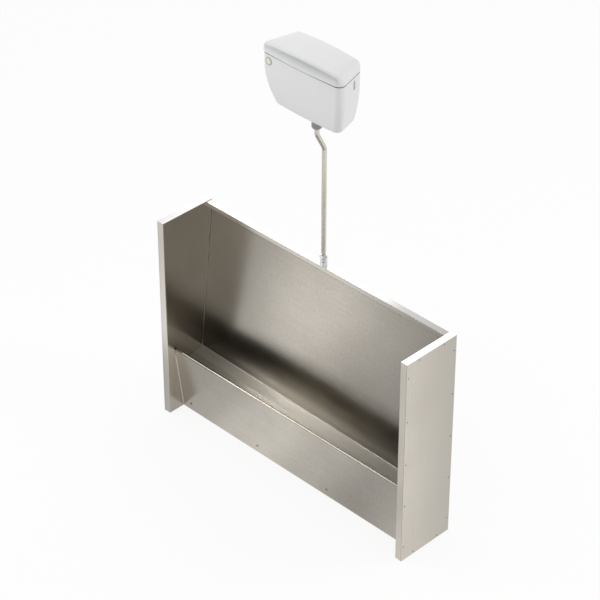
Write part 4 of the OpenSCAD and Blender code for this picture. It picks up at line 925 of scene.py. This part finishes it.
def rounded_plan(corners, radii, steps):
    """Closed outlines with rounded corners, a row of points for each row of corners.

    An arc's centre lies its radius in from both of its sides, and its points turn evenly from one
    side's direction to the next. The sides between the arcs are cut evenly.
    """
    before = corners - np.roll(corners, 1, axis=1)
    before /= np.linalg.norm(before, axis=2, keepdims=True)
    after = np.roll(before, -1, axis=1)
    crossed = before[..., 0] * after[..., 1] - before[..., 1] * after[..., 0]
    turn = np.arctan2(crossed, (before * after).sum(axis=2))
    left = np.stack([-before[..., 1], before[..., 0]], axis=2)
    centre = corners + (left - before * np.tan(turn / 2)[..., None]) * radii[..., None]
    arcs = []
    for k, count in enumerate(steps):
        swing = turn[:, k, None] * np.linspace(0, 1, count + 1)[None, :]
        bx, by = before[:, k, :1], before[:, k, 1:]
        way = np.stack([-(bx * np.sin(swing) + by * np.cos(swing)),
                        bx * np.cos(swing) - by * np.sin(swing)], axis=2)
        arcs.append(centre[:, k, None] - radii[:, k, None, None] * way)
    outline = []
    share = np.linspace(0, 1, SIDE_STEPS + 1)[1:-1][None, :, None]
    for k, arc in enumerate(arcs):
        next_start = arcs[(k + 1) % len(arcs)][:, :1]
        outline += [arc, arc[:, -1:] + (next_start - arc[:, -1:]) * share]
    return np.concatenate(outline, axis=1)


def cistern_plan(front_half, rear_half, depth, bow, side_in, front_in, rear_in):
    """Plans of the cistern: a bowed front, straight sides that draw in to the wall, and a back."""
    slope = (front_half - rear_half) / depth
    slant = np.sqrt(1 + slope**2)
    front_x = rear_half + slope * (depth - front_in) - side_in * slant
    rear_x = rear_half + slope * rear_in - side_in * slant
    front_y = WALL - depth + front_in
    rear_y = WALL - rear_in
    front_radius = np.maximum(CORNER_RADIUS - side_in, LEAST_RADIUS)
    rear_radius = np.maximum(REAR_RADIUS - side_in, LEAST_RADIUS)
    bow_radius = BOW_SHARE * front_x**2 / bow
    sides = ((-front_x, front_y), (0 * front_x, front_y - bow), (front_x, front_y),
             (rear_x, rear_y), (-rear_x, rear_y))
    corners = np.stack([np.stack(np.broadcast_arrays(*side), axis=-1) for side in sides], axis=1)
    radii = np.stack([front_radius, bow_radius, front_radius, rear_radius, rear_radius], axis=1)
    steps = (CORNER_STEPS, BOW_STEPS, CORNER_STEPS, REAR_STEPS, REAR_STEPS)
    return rounded_plan(corners, radii, steps)


def body_rings(height, inset):
    """Rings of the body at heights over its base, each moved in from the outside by its inset.

    The sides draw in by a power of the height that is left to the straight band at the top.
    """
    height, inset = np.array(height, float), np.array(inset, float)
    left = np.clip(1 - height / (CISTERN_HEIGHT - BAND_HEIGHT), 0, 1) ** BULGE_POWER
    front_half = (CISTERN_WIDTH - (CISTERN_WIDTH - BASE_WIDTH) * left) / 2
    depth = CISTERN_DEPTH - (CISTERN_DEPTH - BASE_DEPTH) * left
    rear_half = front_half * CISTERN_REAR_WIDTH / CISTERN_WIDTH
    plan = cistern_plan(front_half, rear_half, depth, CISTERN_BOW, inset, inset, inset)
    level = np.broadcast_to(height[:, None, None], plan.shape[:2] + (1,))
    return np.concatenate([plan, level], axis=2)


def shell_side(inset, top, rows):
    """Heights and insets up one face of the shell: a quarter round at the base and then its side."""
    angle = np.linspace(0, np.pi / 2, BASE_ROWS)
    radius = BASE_RADIUS - inset
    height = inset + radius * (1 - np.cos(angle))
    side = np.linspace(BASE_RADIUS, top, rows)[1:]
    insets = inset + radius * (1 - np.sin(angle))
    return np.concatenate([height, side]), np.concatenate([insets, np.full(len(side), inset)])


def drilled(piece, cutters):
    """Cuts shapes out of a piece and puts the cut mesh in place of its own."""
    for points, quads, caps in cutters:
        data = bpy.data.meshes.new("cutter")
        data.from_pydata(points, [], quads.tolist() + caps)
        cutter = bpy.data.objects.new("cutter", data)
        bpy.context.scene.collection.objects.link(cutter)
        cut = piece.modifiers.new("hole", "BOOLEAN")
        cut.object = cutter
        cut.solver = "EXACT"
        bpy.context.view_layer.update()
        seen = piece.evaluated_get(bpy.context.evaluated_depsgraph_get())
        solid = bpy.data.meshes.new_from_object(seen)
        piece.modifiers.remove(cut)
        piece.data = solid
        bpy.data.objects.remove(cutter)
    piece.data.set_sharp_from_angle(angle=math.radians(CREASE))


def drill(radius):
    """A round cutter along z that reaches as far up as down."""
    return turned([[radius, -DRILL_REACH], [radius, DRILL_REACH]], DRILL_AROUND)


def slot_shape(share, heights):
    """The oblong of the knock-out, times a share, at each height: two half rounds held apart."""
    angle = (np.arange(SLOT_AROUND) + 0.5) * 2 * np.pi / SLOT_AROUND
    reach = (SLOT_HEIGHT - SLOT_WIDTH) / 2
    x = share * (SLOT_WIDTH / 2 * np.cos(angle) + reach * np.sign(np.cos(angle)))
    y = share * SLOT_WIDTH / 2 * np.sin(angle)
    return np.stack([np.column_stack([x, y, np.full(SLOT_AROUND, z)]) for z in heights])


def side_half(depth):
    """Half the width of the band at a distance from the wall."""
    share = depth / CISTERN_DEPTH
    return (CISTERN_REAR_WIDTH + (CISTERN_WIDTH - CISTERN_REAR_WIDTH) * share) / 2


SIDE_SLANT = math.atan((CISTERN_WIDTH - CISTERN_REAR_WIDTH) / 2 / CISTERN_DEPTH)
BOW_SLANT = math.atan(CISTERN_BOW / (CISTERN_WIDTH / 2))
right_out = (math.cos(SIDE_SLANT), math.sin(SIDE_SLANT), 0)
left_out = (-math.cos(SIDE_SLANT), math.sin(SIDE_SLANT), 0)
plug_x = -CISTERN_WIDTH / 2 + PLUG_INSET
plug_depth = CISTERN_DEPTH + CISTERN_BOW * (1 - abs(plug_x) / (CISTERN_WIDTH / 2))
plug_spot = (plug_x, WALL - plug_depth, RIM_Z - PLUG_DROP)
plug_out = (-math.sin(BOW_SLANT), -math.cos(BOW_SLANT), 0)

outer_height, outer_inset = shell_side(0.0, CISTERN_HEIGHT, OUTER_ROWS)
inner_height, inner_inset = shell_side(PLASTIC_WALL, CISTERN_HEIGHT - PLASTIC_WALL, INNER_ROWS)
ring_top = CISTERN_HEIGHT + RIM_RING_HEIGHT
ring_in = RIM_RING_INSET + RIM_RING_WALL
rim_height = [CISTERN_HEIGHT, ring_top, ring_top, CISTERN_HEIGHT, CISTERN_HEIGHT,
              CISTERN_HEIGHT - PLASTIC_WALL]
rim_inset = [RIM_RING_INSET, RIM_RING_INSET, ring_in, ring_in, RIM_FLAT, RIM_FLAT]
shell = body_rings(np.concatenate([outer_height, rim_height, inner_height[::-1]]),
                   np.concatenate([outer_inset, rim_inset, inner_inset[::-1]]))
shell = faced(shell + np.array([0, 0, CISTERN_Z]), capped=True)

slot_spot = (side_half(SLOT_DEPTH), WALL - SLOT_DEPTH, RIM_Z - SLOT_DROP)
inlet_spot = (-side_half(INLET_DEPTH), WALL - INLET_DEPTH, RIM_Z - INLET_DROP)
cutters = [placed(slot_shape(1, (-DRILL_REACH, DRILL_REACH)), slot_spot, right_out),
           placed(drill(INLET_RADIUS), inlet_spot, left_out),
           placed(drill(PLUG_HOLE_RADIUS), plug_spot, plug_out),
           placed(drill(TAIL_RADIUS), (0, SIPHON_Y, CISTERN_Z))]
for side in (-1, 1):
    spot = (side * WALL_HOLE_APART / 2, WALL, RIM_Z - WALL_HOLE_DROP)
    cutters.append(placed(drill(WALL_HOLE_RADIUS), spot, (0, 1, 0)))


def moulded_plastic(name, light, shade, rough, grain=PLASTIC_GRAIN, depth=PLASTIC_DEPTH, marked=None):
    """Moulded plastic: a faint variation of its colour and gloss over a fine grained skin."""
    material, place, shader = new_finish(name, IOR=PLASTIC_INDEX)
    colour = place.noise(PLASTIC_PATCH_SCALE).mix(light, shade)
    wear(shader, Base_Color=marked(place, colour) if marked else colour)
    wear(shader, Roughness=rough + GLOSS_SWING * (place.noise(GLOSS_PATCH_SCALE) - 0.5))
    wear(shader, Normal=place.noise(grain).bumped(PLASTIC_STRENGTH, depth))
    return material


def gap_painted_shadow(place, colour):
    """A painted shadow in the gap between the body's rim and the lid."""
    off_gap = abs(place.axis("Z") - (RIM_Z + GAP_SHADOW_LIFT))
    return off_gap.between(*GAP_SHADOW_FADE).mix(RIM_PAINTED_SHADOW, colour)


white_plastic = moulded_plastic("white_plastic", WHITE_LIGHT, WHITE_SHADE, WHITE_ROUGH, marked=gap_painted_shadow)
piece = made_piece("cistern_body_moulded", "urinal", white_plastic, [shell])
drilled(piece, [faced(cutter, capped=True) for cutter in cutters])
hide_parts("cistern_body")
blank_plastic = moulded_plastic("blank_plastic", BLANK_PALE, BLANK_DARK, BLANK_ROUGH)
made_piece("cistern_slot_blank", "urinal", blank_plastic,
           [faced(placed(slot_shape(BLANK_SHARE, BLANK_DEPTHS), slot_spot, right_out), capped=True)])

# Cistern lid
# A shallow moulded shell with an arched top and rounded ends. Its front bows out past the body, it
# stands off the rim by a shadow gap, and a ring under it locates it inside the rim's upstand.
LID_END_HEIGHT = 0.043
LID_HEIGHT = 0.060
LID_ROUND = 0.032
LID_EDGE_RADIUS = 0.014
LID_OVER = 0.002
LID_BOW = 0.005
LID_GAP = 0.0055
LID_REAR_GAP = 0.0005
LID_REAR_RADIUS = 0.006
LID_ROUND_POWER = 4
LID_RING_INSET = 0.0032
LID_RING_WALL = 0.003
LID_SEAT = 0.0003
LID_LIP = 0.0012
# Painted shade greys the lid's front towards its top edge.
LID_PAINTED_SHADE = (0.52, 0.53, 0.53, 1.0)
LID_SHADE_IN = (0.0055, 0.0085)
LID_SHADE_LIFT = 0.004
LID_CURL_ROWS = 13
LID_TOP_SHARES = (0.93, 0.84, 0.74, 0.62, 0.5, 0.37, 0.24, 0.12, 0.03)


def lid_plan(inset, curl):
    """Plans of the lid's shell, drawn in at its sides, front and back as the edge curls over."""
    curl = np.array(curl, float)
    half = np.full(curl.shape, CISTERN_WIDTH / 2)
    rear = np.full(curl.shape, CISTERN_REAR_WIDTH / 2)
    return cistern_plan(
        half, rear, CISTERN_DEPTH, CISTERN_BOW + LID_BOW,
        inset - LID_OVER + (LID_ROUND - inset) * curl,
        inset - LID_OVER + (LID_EDGE_RADIUS - inset) * curl,
        inset + LID_REAR_GAP + LID_REAR_RADIUS * curl)


def arch(x):
    """Height of the lid's top over the rim: a parabola over the width."""
    return LID_END_HEIGHT + (LID_HEIGHT - LID_END_HEIGHT) * (1 - (x / (CISTERN_WIDTH / 2)) ** 2)


def lid_rings(inset, low):
    """Rings of one face of the lid from its lower edge over the curled edge to the middle.

    The edge drops from the arch by a quarter round that grows to the ends with the fourth power
    of the distance from the middle.
    """
    angle = np.linspace(0, np.pi / 2, LID_CURL_ROWS)
    plan = lid_plan(inset, np.concatenate([[0.0], 1 - np.cos(angle)]))
    end_share = np.minimum(abs(plan[..., 0]) / (CISTERN_WIDTH / 2), 1) ** LID_ROUND_POWER
    drop = LID_EDGE_RADIUS - inset + (LID_ROUND - LID_EDGE_RADIUS) * end_share
    fall = np.concatenate([[1.0], 1 - np.sin(angle)])[:, None]
    least = low + LID_LIP * np.concatenate([[0.0], angle / (np.pi / 2)])[:, None]
    height = np.maximum(arch(plan[..., 0]) - inset - drop * fall, least)
    height[0] = low
    edge = np.concatenate([plan, height[..., None]], axis=2)
    share = np.array(LID_TOP_SHARES)[:, None]
    middle = WALL - CISTERN_DEPTH / 2
    x = plan[-1, None, :, 0] * share
    y = middle + (plan[-1, None, :, 1] - middle) * share
    return np.concatenate([edge, np.stack([x, y, arch(x) - inset], axis=-1)])


def lid_front_painted_shade(place, colour):
    """Painted shade greys the front of the lid towards its top edge, and a painted shadow lies in the gap
    under it.

    The distance in from the front allows for its bow, a parabola over the width.
    """
    x = place.axis("X")
    bow = (CISTERN_BOW + LID_BOW) * (1 - x * x * (2 / CISTERN_WIDTH) ** 2)
    inward = place.axis("Y") + bow + (CISTERN_DEPTH + LID_OVER - WALL)
    front = 1 - inward.between(*LID_SHADE_IN)
    high = place.axis("Z").past(RIM_Z, LID_SHADE_LIFT, LID_HEIGHT)
    return gap_painted_shadow(place, (front * high).mix(colour, LID_PAINTED_SHADE))


lid_plastic = moulded_plastic("lid_plastic", WHITE_LIGHT, WHITE_SHADE, WHITE_ROUGH, marked=lid_front_painted_shade)
plate_z = LID_GAP + PLASTIC_WALL
opening = LID_RING_INSET + LID_RING_WALL
ring_z = LID_GAP + LID_LIP


def rim_rings(insets, levels):
    """Rings of the body's rim outline, moved in by insets and laid at levels over the rim."""
    rings = body_rings([CISTERN_HEIGHT] * len(insets), insets)
    rings[:, :, 2] = np.array(levels)[:, None]
    return rings


under = rim_rings([opening, opening], [plate_z, LID_GAP])
lid = np.concatenate([lid_rings(PLASTIC_WALL, plate_z)[::-1], under, lid_rings(0.0, LID_GAP)])
ring = rim_rings([LID_RING_INSET, LID_RING_INSET, opening, opening], [LID_SEAT, ring_z, ring_z, LID_SEAT])
rise = np.array([0, 0, RIM_Z])
piece = made_piece("cistern_lid_moulded", "lid", lid_plastic,
                   [faced(lid + rise, capped=True), faced(ring + rise, loop=True)])
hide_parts("cistern_lid")

# Lever hole plug
# A blank ivory plug snapped into the hole for a lever. Its dished face sits inside a rolled rim of
# pale grey plastic, with a fine groove between them.
PLUG_RADIUS = 0.0185
PLUG_FACE_RADIUS = 0.0135
PLUG_HEIGHT = 0.004
PLUG_STEM = 0.007
PLUG_GROOVE = 0.0006
PLUG_SEAT = 0.0001
PLUG_DISH = 0.0006
PLUG_FACE_EDGE = 0.0022
PLUG_FACE_HEIGHT = 0.00288
PLUG_AROUND = 64
PLUG_ROLL_ROWS = 13
PLUG_DISH_ROWS = 9
RIM_PALE = (0.62, 0.63, 0.63, 1.0)
RIM_DARK = (0.5, 0.51, 0.52, 1.0)
IVORY_LIGHT = (0.9, 0.87, 0.66, 1.0)
IVORY_SHADE = (0.84, 0.81, 0.6, 1.0)
IVORY_ROUGH = 0.28

rolled = np.linspace(0, np.pi, PLUG_ROLL_ROWS)
roll_middle = (PLUG_RADIUS + PLUG_FACE_RADIUS) / 2
roll_half = (PLUG_RADIUS - PLUG_FACE_RADIUS) / 2
rim_curve = np.column_stack([roll_middle + roll_half * np.cos(rolled),
                             0.5 * PLUG_HEIGHT * (1 + np.sin(rolled))])
rim_base = [[PLUG_FACE_RADIUS, PLUG_SEAT], [PLUG_RADIUS, PLUG_SEAT]]
plug_rim = turned(rim_base + rim_curve.tolist(), PLUG_AROUND)
stem_radius = PLUG_HOLE_RADIUS - PLUG_SEAT
face_edge = PLUG_FACE_RADIUS - PLUG_GROOVE
dish = np.linspace(1, 0, PLUG_DISH_ROWS)
face_curve = np.column_stack([(face_edge - PLUG_DISH) * dish, PLUG_FACE_HEIGHT - PLUG_DISH * (1 - dish**2)])
face_base = [[0, -PLUG_STEM], [stem_radius, -PLUG_STEM], [stem_radius, PLUG_SEAT],
             [face_edge, PLUG_SEAT], [face_edge, PLUG_FACE_EDGE]]
plug_face = turned(face_base + face_curve.tolist(), PLUG_AROUND)
grey_rim = moulded_plastic("plug_rim_plastic", RIM_PALE, RIM_DARK, WHITE_ROUGH)
ivory_plastic = moulded_plastic("ivory_plastic", IVORY_LIGHT, IVORY_SHADE, IVORY_ROUGH)
piece = made_piece("lever_plug_face", "urinal", ivory_plastic,
                   [faced(placed(plug_face, plug_spot, plug_out))])
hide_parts("lever_hole_plug")
made_piece("lever_plug_rim", "urinal", grey_rim,
           [faced(placed(plug_rim, plug_spot, plug_out), loop=True)])

# Flush pipe nut and cone washer
# A grey moulded hand nut with scalloped grips and a rounded foot. It clamps a rubber cone between
# the pipe and the cistern's threaded tail.
NUT_RADIUS = 0.023
NUT_ROUND = 0.010
NUT_GRIPS = 10
NUT_SCALLOP = 0.0021
NUT_FLOOR = 0.004
NUT_PLAIN_SHARE = 0.22
NUT_FADE_SHARE = 0.12
NUT_GRIP_POWER = 3
NUT_CHAMFER = 0.0012
NUT_TAIL_CLEAR = 0.0006
NUT_PIPE_CLEAR = 0.0005
NUT_AROUND = 160
NUT_FOOT_ROWS = 10
NUT_SIDE_ROWS = 16
GREY_LIGHT = (0.34, 0.34, 0.345, 1.0)
GREY_SHADE = (0.27, 0.27, 0.275, 1.0)
GREY_ROUGH = 0.42
GREY_GRAIN = 1300.0
GREY_DEPTH = 0.00008
nut_low, nut_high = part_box("flush_pipe_nut")
NUT_HEIGHT = nut_high.z - nut_low.z


def scalloped(grid, outside):
    """Grips round a turned grid: hollows cut in the outside by a power of a cosine of the angle.

    They fade out above the foot's rounding, so that the foot stays round.
    """
    x, y, z = np.moveaxis(grid, -1, 0)
    radius = np.hypot(x, y)
    hollow = (0.5 + 0.5 * np.cos(NUT_GRIPS * np.arctan2(y, x))) ** NUT_GRIP_POWER
    fade = np.clip((z / NUT_HEIGHT - NUT_PLAIN_SHARE) / NUT_FADE_SHARE, 0, 1)
    share = 1 - NUT_SCALLOP * hollow * fade * outside / radius
    return np.stack([x * share, y * share, z], axis=-1)


foot_angle = np.linspace(0, np.pi / 2, NUT_FOOT_ROWS)
foot = np.column_stack([NUT_RADIUS - NUT_ROUND + NUT_ROUND * np.sin(foot_angle),
                        NUT_ROUND - NUT_ROUND * np.cos(foot_angle)])
side_rise = np.linspace(NUT_ROUND, NUT_HEIGHT - NUT_CHAMFER, NUT_SIDE_ROWS + 1)[1:]
nut_side = np.column_stack([np.full(NUT_SIDE_ROWS, NUT_RADIUS), side_rise])
nut_outside = np.concatenate([foot, nut_side, [[NUT_RADIUS - NUT_CHAMFER, NUT_HEIGHT]]])
tail_bore = TAIL_RADIUS + NUT_TAIL_CLEAR
pipe_bore = FLUSH_RADIUS + NUT_PIPE_CLEAR
nut_bore = [[tail_bore, NUT_HEIGHT], [tail_bore, NUT_FLOOR], [pipe_bore, NUT_FLOOR], [pipe_bore, 0]]
is_outside = np.concatenate([np.ones(len(nut_outside)), np.zeros(len(nut_bore))])[:, None]
nut = scalloped(turned(np.concatenate([nut_outside, nut_bore]), NUT_AROUND), is_outside)
grey_plastic = moulded_plastic("grey_plastic", GREY_LIGHT, GREY_SHADE, GREY_ROUGH, GREY_GRAIN, GREY_DEPTH)
nut_spot = (0, SIPHON_Y, nut_low.z)
piece = made_piece("flush_pipe_nut_scalloped", "urinal", grey_plastic,
                   [faced(placed(nut, nut_spot), loop=True)])
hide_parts("flush_pipe_nut")
put_on(rubber, "cone_washer")

# Siphon
# The moulded stem passes through the cistern's base and is held by a back nut. The bell stands over
# it on fins, with a thin vent tube down its side.
put_on(white_plastic, "siphon_stem", "siphon_bell")
put_on(grey_plastic, "siphon_vent_tube", "siphon_back_nut")
put_on(rubber, "siphon_washer")

# Petcock
# A small brass tap inside the cistern sets how fast it fills. Its threaded inlet comes out through
# the left side, between two washers and a back nut, and its plated key turns a quarter.
put_on(brass, "petcock_body", "petcock_back_nut")
put_on(chrome, "petcock_key")
put_on(rubber, "petcock_washers")

# Waste
# A polished flanged waste with a threaded tail, bedded on a gasket in the trough's cup and drawn
# down by a plastic back nut. A pierced dome strainer lifts out of it for cleaning.
put_on(chrome, "waste_body", "waste_strainer")
put_on(white_plastic, "waste_back_nut")
put_on(rubber, "waste_gasket", "waste_under_gasket")

# Studio
# A pale floor and a white surround, which with two lamps lights all that isn't metal. Cards that
# only a gloss can see stand round it: graded ones on the floor, high on the left, behind and to the
# right give the steel its bright and dark bands, and dim ones close the rest of the room.
FLOOR_HALF = 14.0
FLOOR_DROP = 0.0005
FLOOR_WHITE_SHARE = 0.85
FLOOR_WHITE = 1.03
FLOOR_MATT = (0.9, 0.9, 0.9, 1.0)
WHITE = (1.0, 1.0, 1.0, 1.0)
SURROUND_LEVEL = 0.74
CARD_LIFT = 0.003
ROOM_LEFT = -8.0
ROOM_FRONT = -3.2
ROOM_RIGHT = 3.6
ROOM_TOP = 6.5
SKY_RIGHT = -0.8
SKY_Z = 3.0
LOW_SKY_Z = 1.8
REAR_CARD_Y = 2.0
SIDE_CARD_REAR = 4.0
SIDE_CARD_Z = 0.25


def seen_white(start):
    """1 for the rays that look at the background, from the camera, a gloss or a glass."""
    rays = ("Is Camera Ray", "Is Glossy Ray", "Is Transmission Ray")
    camera_ray, gloss_ray, glass_ray = [start.node("LightPath", output=ray) for ray in rays]
    return start.maths("MAXIMUM", camera_ray, start.maths("MAXIMUM", gloss_ray, glass_ray))


def painted(name):
    """A new material without a shader, as the start of its tree."""
    paint = bpy.data.materials.new(name)
    paint.use_nodes = True
    paint.node_tree.nodes.remove(paint.node_tree.nodes["Principled BSDF"])
    return paint, Socket(paint.node_tree)


def card(name, corners, paint, surface):
    """A flat four cornered stage piece whose paint ends in that surface."""
    paint.node_tree.links.new(surface.link, paint.node_tree.nodes["Material Output"].inputs["Surface"])
    mesh = bpy.data.meshes.new(name)
    mesh.from_pydata(corners, [], [(0, 1, 2, 3)])
    mesh.materials.append(paint)
    made = bpy.data.objects.new(name, mesh)
    bpy.context.scene.collection.objects.link(made)
    return made


def gloss_card(name, corners, levels, axis="X"):
    """A card that only a gloss sees. Its level runs evenly through (place, level) pairs."""
    places = np.array([place for place, _ in levels])
    peak = max(level for _, level in levels)
    paint, start = painted(name + "_paint")
    along = start.node("TexCoord", output="Object").axis(axis)
    ramp = start.node("ValToRGB", {}, {"Fac": (along - places[0]) * (1 / np.ptp(places))})
    stops = ramp.link.node.color_ramp
    stops.interpolation = "EASE"
    stops.elements.remove(stops.elements[-1])
    for place, level in levels:
        stop = stops.elements.new((place - places[0]) / np.ptp(places))
        stop.color = (level / peak, level / peak, level / peak, 1)
    stops.elements.remove(stops.elements[0])
    made = card(name, corners, paint, start.node("Emission", {}, {"Color": ramp, "Strength": peak}))
    made.visible_camera = False
    made.visible_diffuse = False
    made.visible_shadow = False
    made.visible_transmission = False


def lying(x0, x1, y0, y1, z=ROOM_TOP):
    """Corners of a level rectangle."""
    return [(x0, y0, z), (x1, y0, z), (x1, y1, z), (x0, y1, z)]


def facing(x0, x1, z0, z1, y=ROOM_FRONT):
    """Corners of an upright rectangle that lies across the room."""
    return [(x0, y, z0), (x1, y, z0), (x1, y, z1), (x0, y, z1)]


floor_paint, start = painted("floor_paint")
matt = start.node("BsdfDiffuse", {}, {"Color": FLOOR_MATT})
white = start.node("Emission", {}, {"Color": WHITE, "Strength": FLOOR_WHITE})
mixed = start.node("MixShader", {}, {0: seen_white(start) * FLOOR_WHITE_SHARE, 1: matt, 2: white})
card("floor", lying(-FLOOR_HALF, FLOOR_HALF, -FLOOR_HALF, FLOOR_HALF, -FLOOR_DROP), floor_paint, mixed)

gloss_card("near_floor_card", lying(-2.2, 0.75, -0.5, -0.06, CARD_LIFT),
           [(-2.2, 0.53), (-1.3, 0.53), (-0.8, 0.49), (-0.6, 0.57), (-0.4, 0.76), (-0.2, 0.83),
            (0.03, 0.67), (0.33, 0.46), (0.75, 0.65)])
gloss_card("far_floor_card", lying(-2.6, 1.2, -1.9, -0.5, CARD_LIFT),
           [(-2.6, 0.8), (-1.8, 0.66), (-1.45, 0.8), (-1.15, 0.9), (-0.87, 0.9), (-0.62, 0.62),
            (-0.37, 0.38), (-0.08, 0.28), (0.15, 0.4), (0.35, 0.62), (0.6, 0.62), (0.8, 0.2),
            (1.2, 0.0)])
gloss_card("sky_card", facing(ROOM_LEFT, SKY_RIGHT, SKY_Z, ROOM_TOP),
           [(ROOM_LEFT, 0.5), (-6.0, 1.2), (-5.0, 4.8), (-4.0, 4.8), (-3.0, 0.7), (SKY_RIGHT, 0.9)])
gloss_card("low_sky_card", facing(ROOM_LEFT, SKY_RIGHT, LOW_SKY_Z, SKY_Z),
           [(ROOM_LEFT, 0.2), (-4.2, 0.25), (-3.0, 1.7), (-2.0, 0.3), (SKY_RIGHT, 0.0)])
gloss_card("rear_card", facing(-3.6, -0.5, 2.0, 4.6, REAR_CARD_Y),
           [(-3.6, 0.5), (-2.9, 1.0), (-2.4, 1.7), (-1.9, 1.8), (-1.4, 1.7), (-0.85, 1.1), (-0.5, 0.9)])
gloss_card("left_ceiling_card", lying(-4.5, -3.0, ROOM_FRONT, 1.5),
           [(ROOM_FRONT, 0.0), (-1.6, 0.1), (-0.6, 2.5), (1.5, 2.5)], "Y")
side_ends = [(ROOM_FRONT, SIDE_CARD_Z), (SIDE_CARD_REAR, SIDE_CARD_Z),
             (SIDE_CARD_REAR, ROOM_TOP), (ROOM_FRONT, ROOM_TOP)]
gloss_card("right_card", [(ROOM_RIGHT, y, z) for y, z in side_ends],
           [(SIDE_CARD_Z, 0.75), (ROOM_TOP, 0.7)], "Z")
gloss_card("front_card", facing(ROOM_LEFT, 5.0, 0.0, LOW_SKY_Z),
           [(0.0, 0.5), (1.0, 0.3), (LOW_SKY_Z, 0.1)], "Z")
gloss_card("front_right_card", facing(SKY_RIGHT, 5.0, LOW_SKY_Z, ROOM_TOP), [(SKY_RIGHT, 0.06), (5.0, 0.4)])
gloss_card("ceiling_card", lying(-3.0, ROOM_RIGHT, ROOM_FRONT, 2.5), [(-3.0, 0.05), (ROOM_RIGHT, 0.35)])

world = bpy.data.worlds.new("surround")
world.use_nodes = True
bpy.context.scene.world = world
start = Socket(world.node_tree)
level = SURROUND_LEVEL + seen_white(start) * (1 - SURROUND_LEVEL)
back = start.node("Background", {}, {"Color": WHITE, "Strength": level})
start.tree.links.new(back.link, start.tree.nodes["World Output"].inputs["Surface"])


def lamp(name, place, target, size, power):
    """A square area lamp at a place, turned to a target, which no gloss sees."""
    data = bpy.data.lights.new(name, "AREA")
    data.size = size
    data.energy = power
    made = bpy.data.objects.new(name, data)
    bpy.context.scene.collection.objects.link(made)
    made.location = place
    made.rotation_euler = (Vector(target) - Vector(place)).to_track_quat("-Z", "Y").to_euler()
    made.visible_glossy = False


lamp("left_lamp", place=(-1.7, -1.5, 2.5), target=(0, 0, 1.95), size=0.7, power=11)
lamp("right_lamp", place=(2.6, 2.2, 4.0), target=(0, 0, 1.2), size=1.6, power=30)
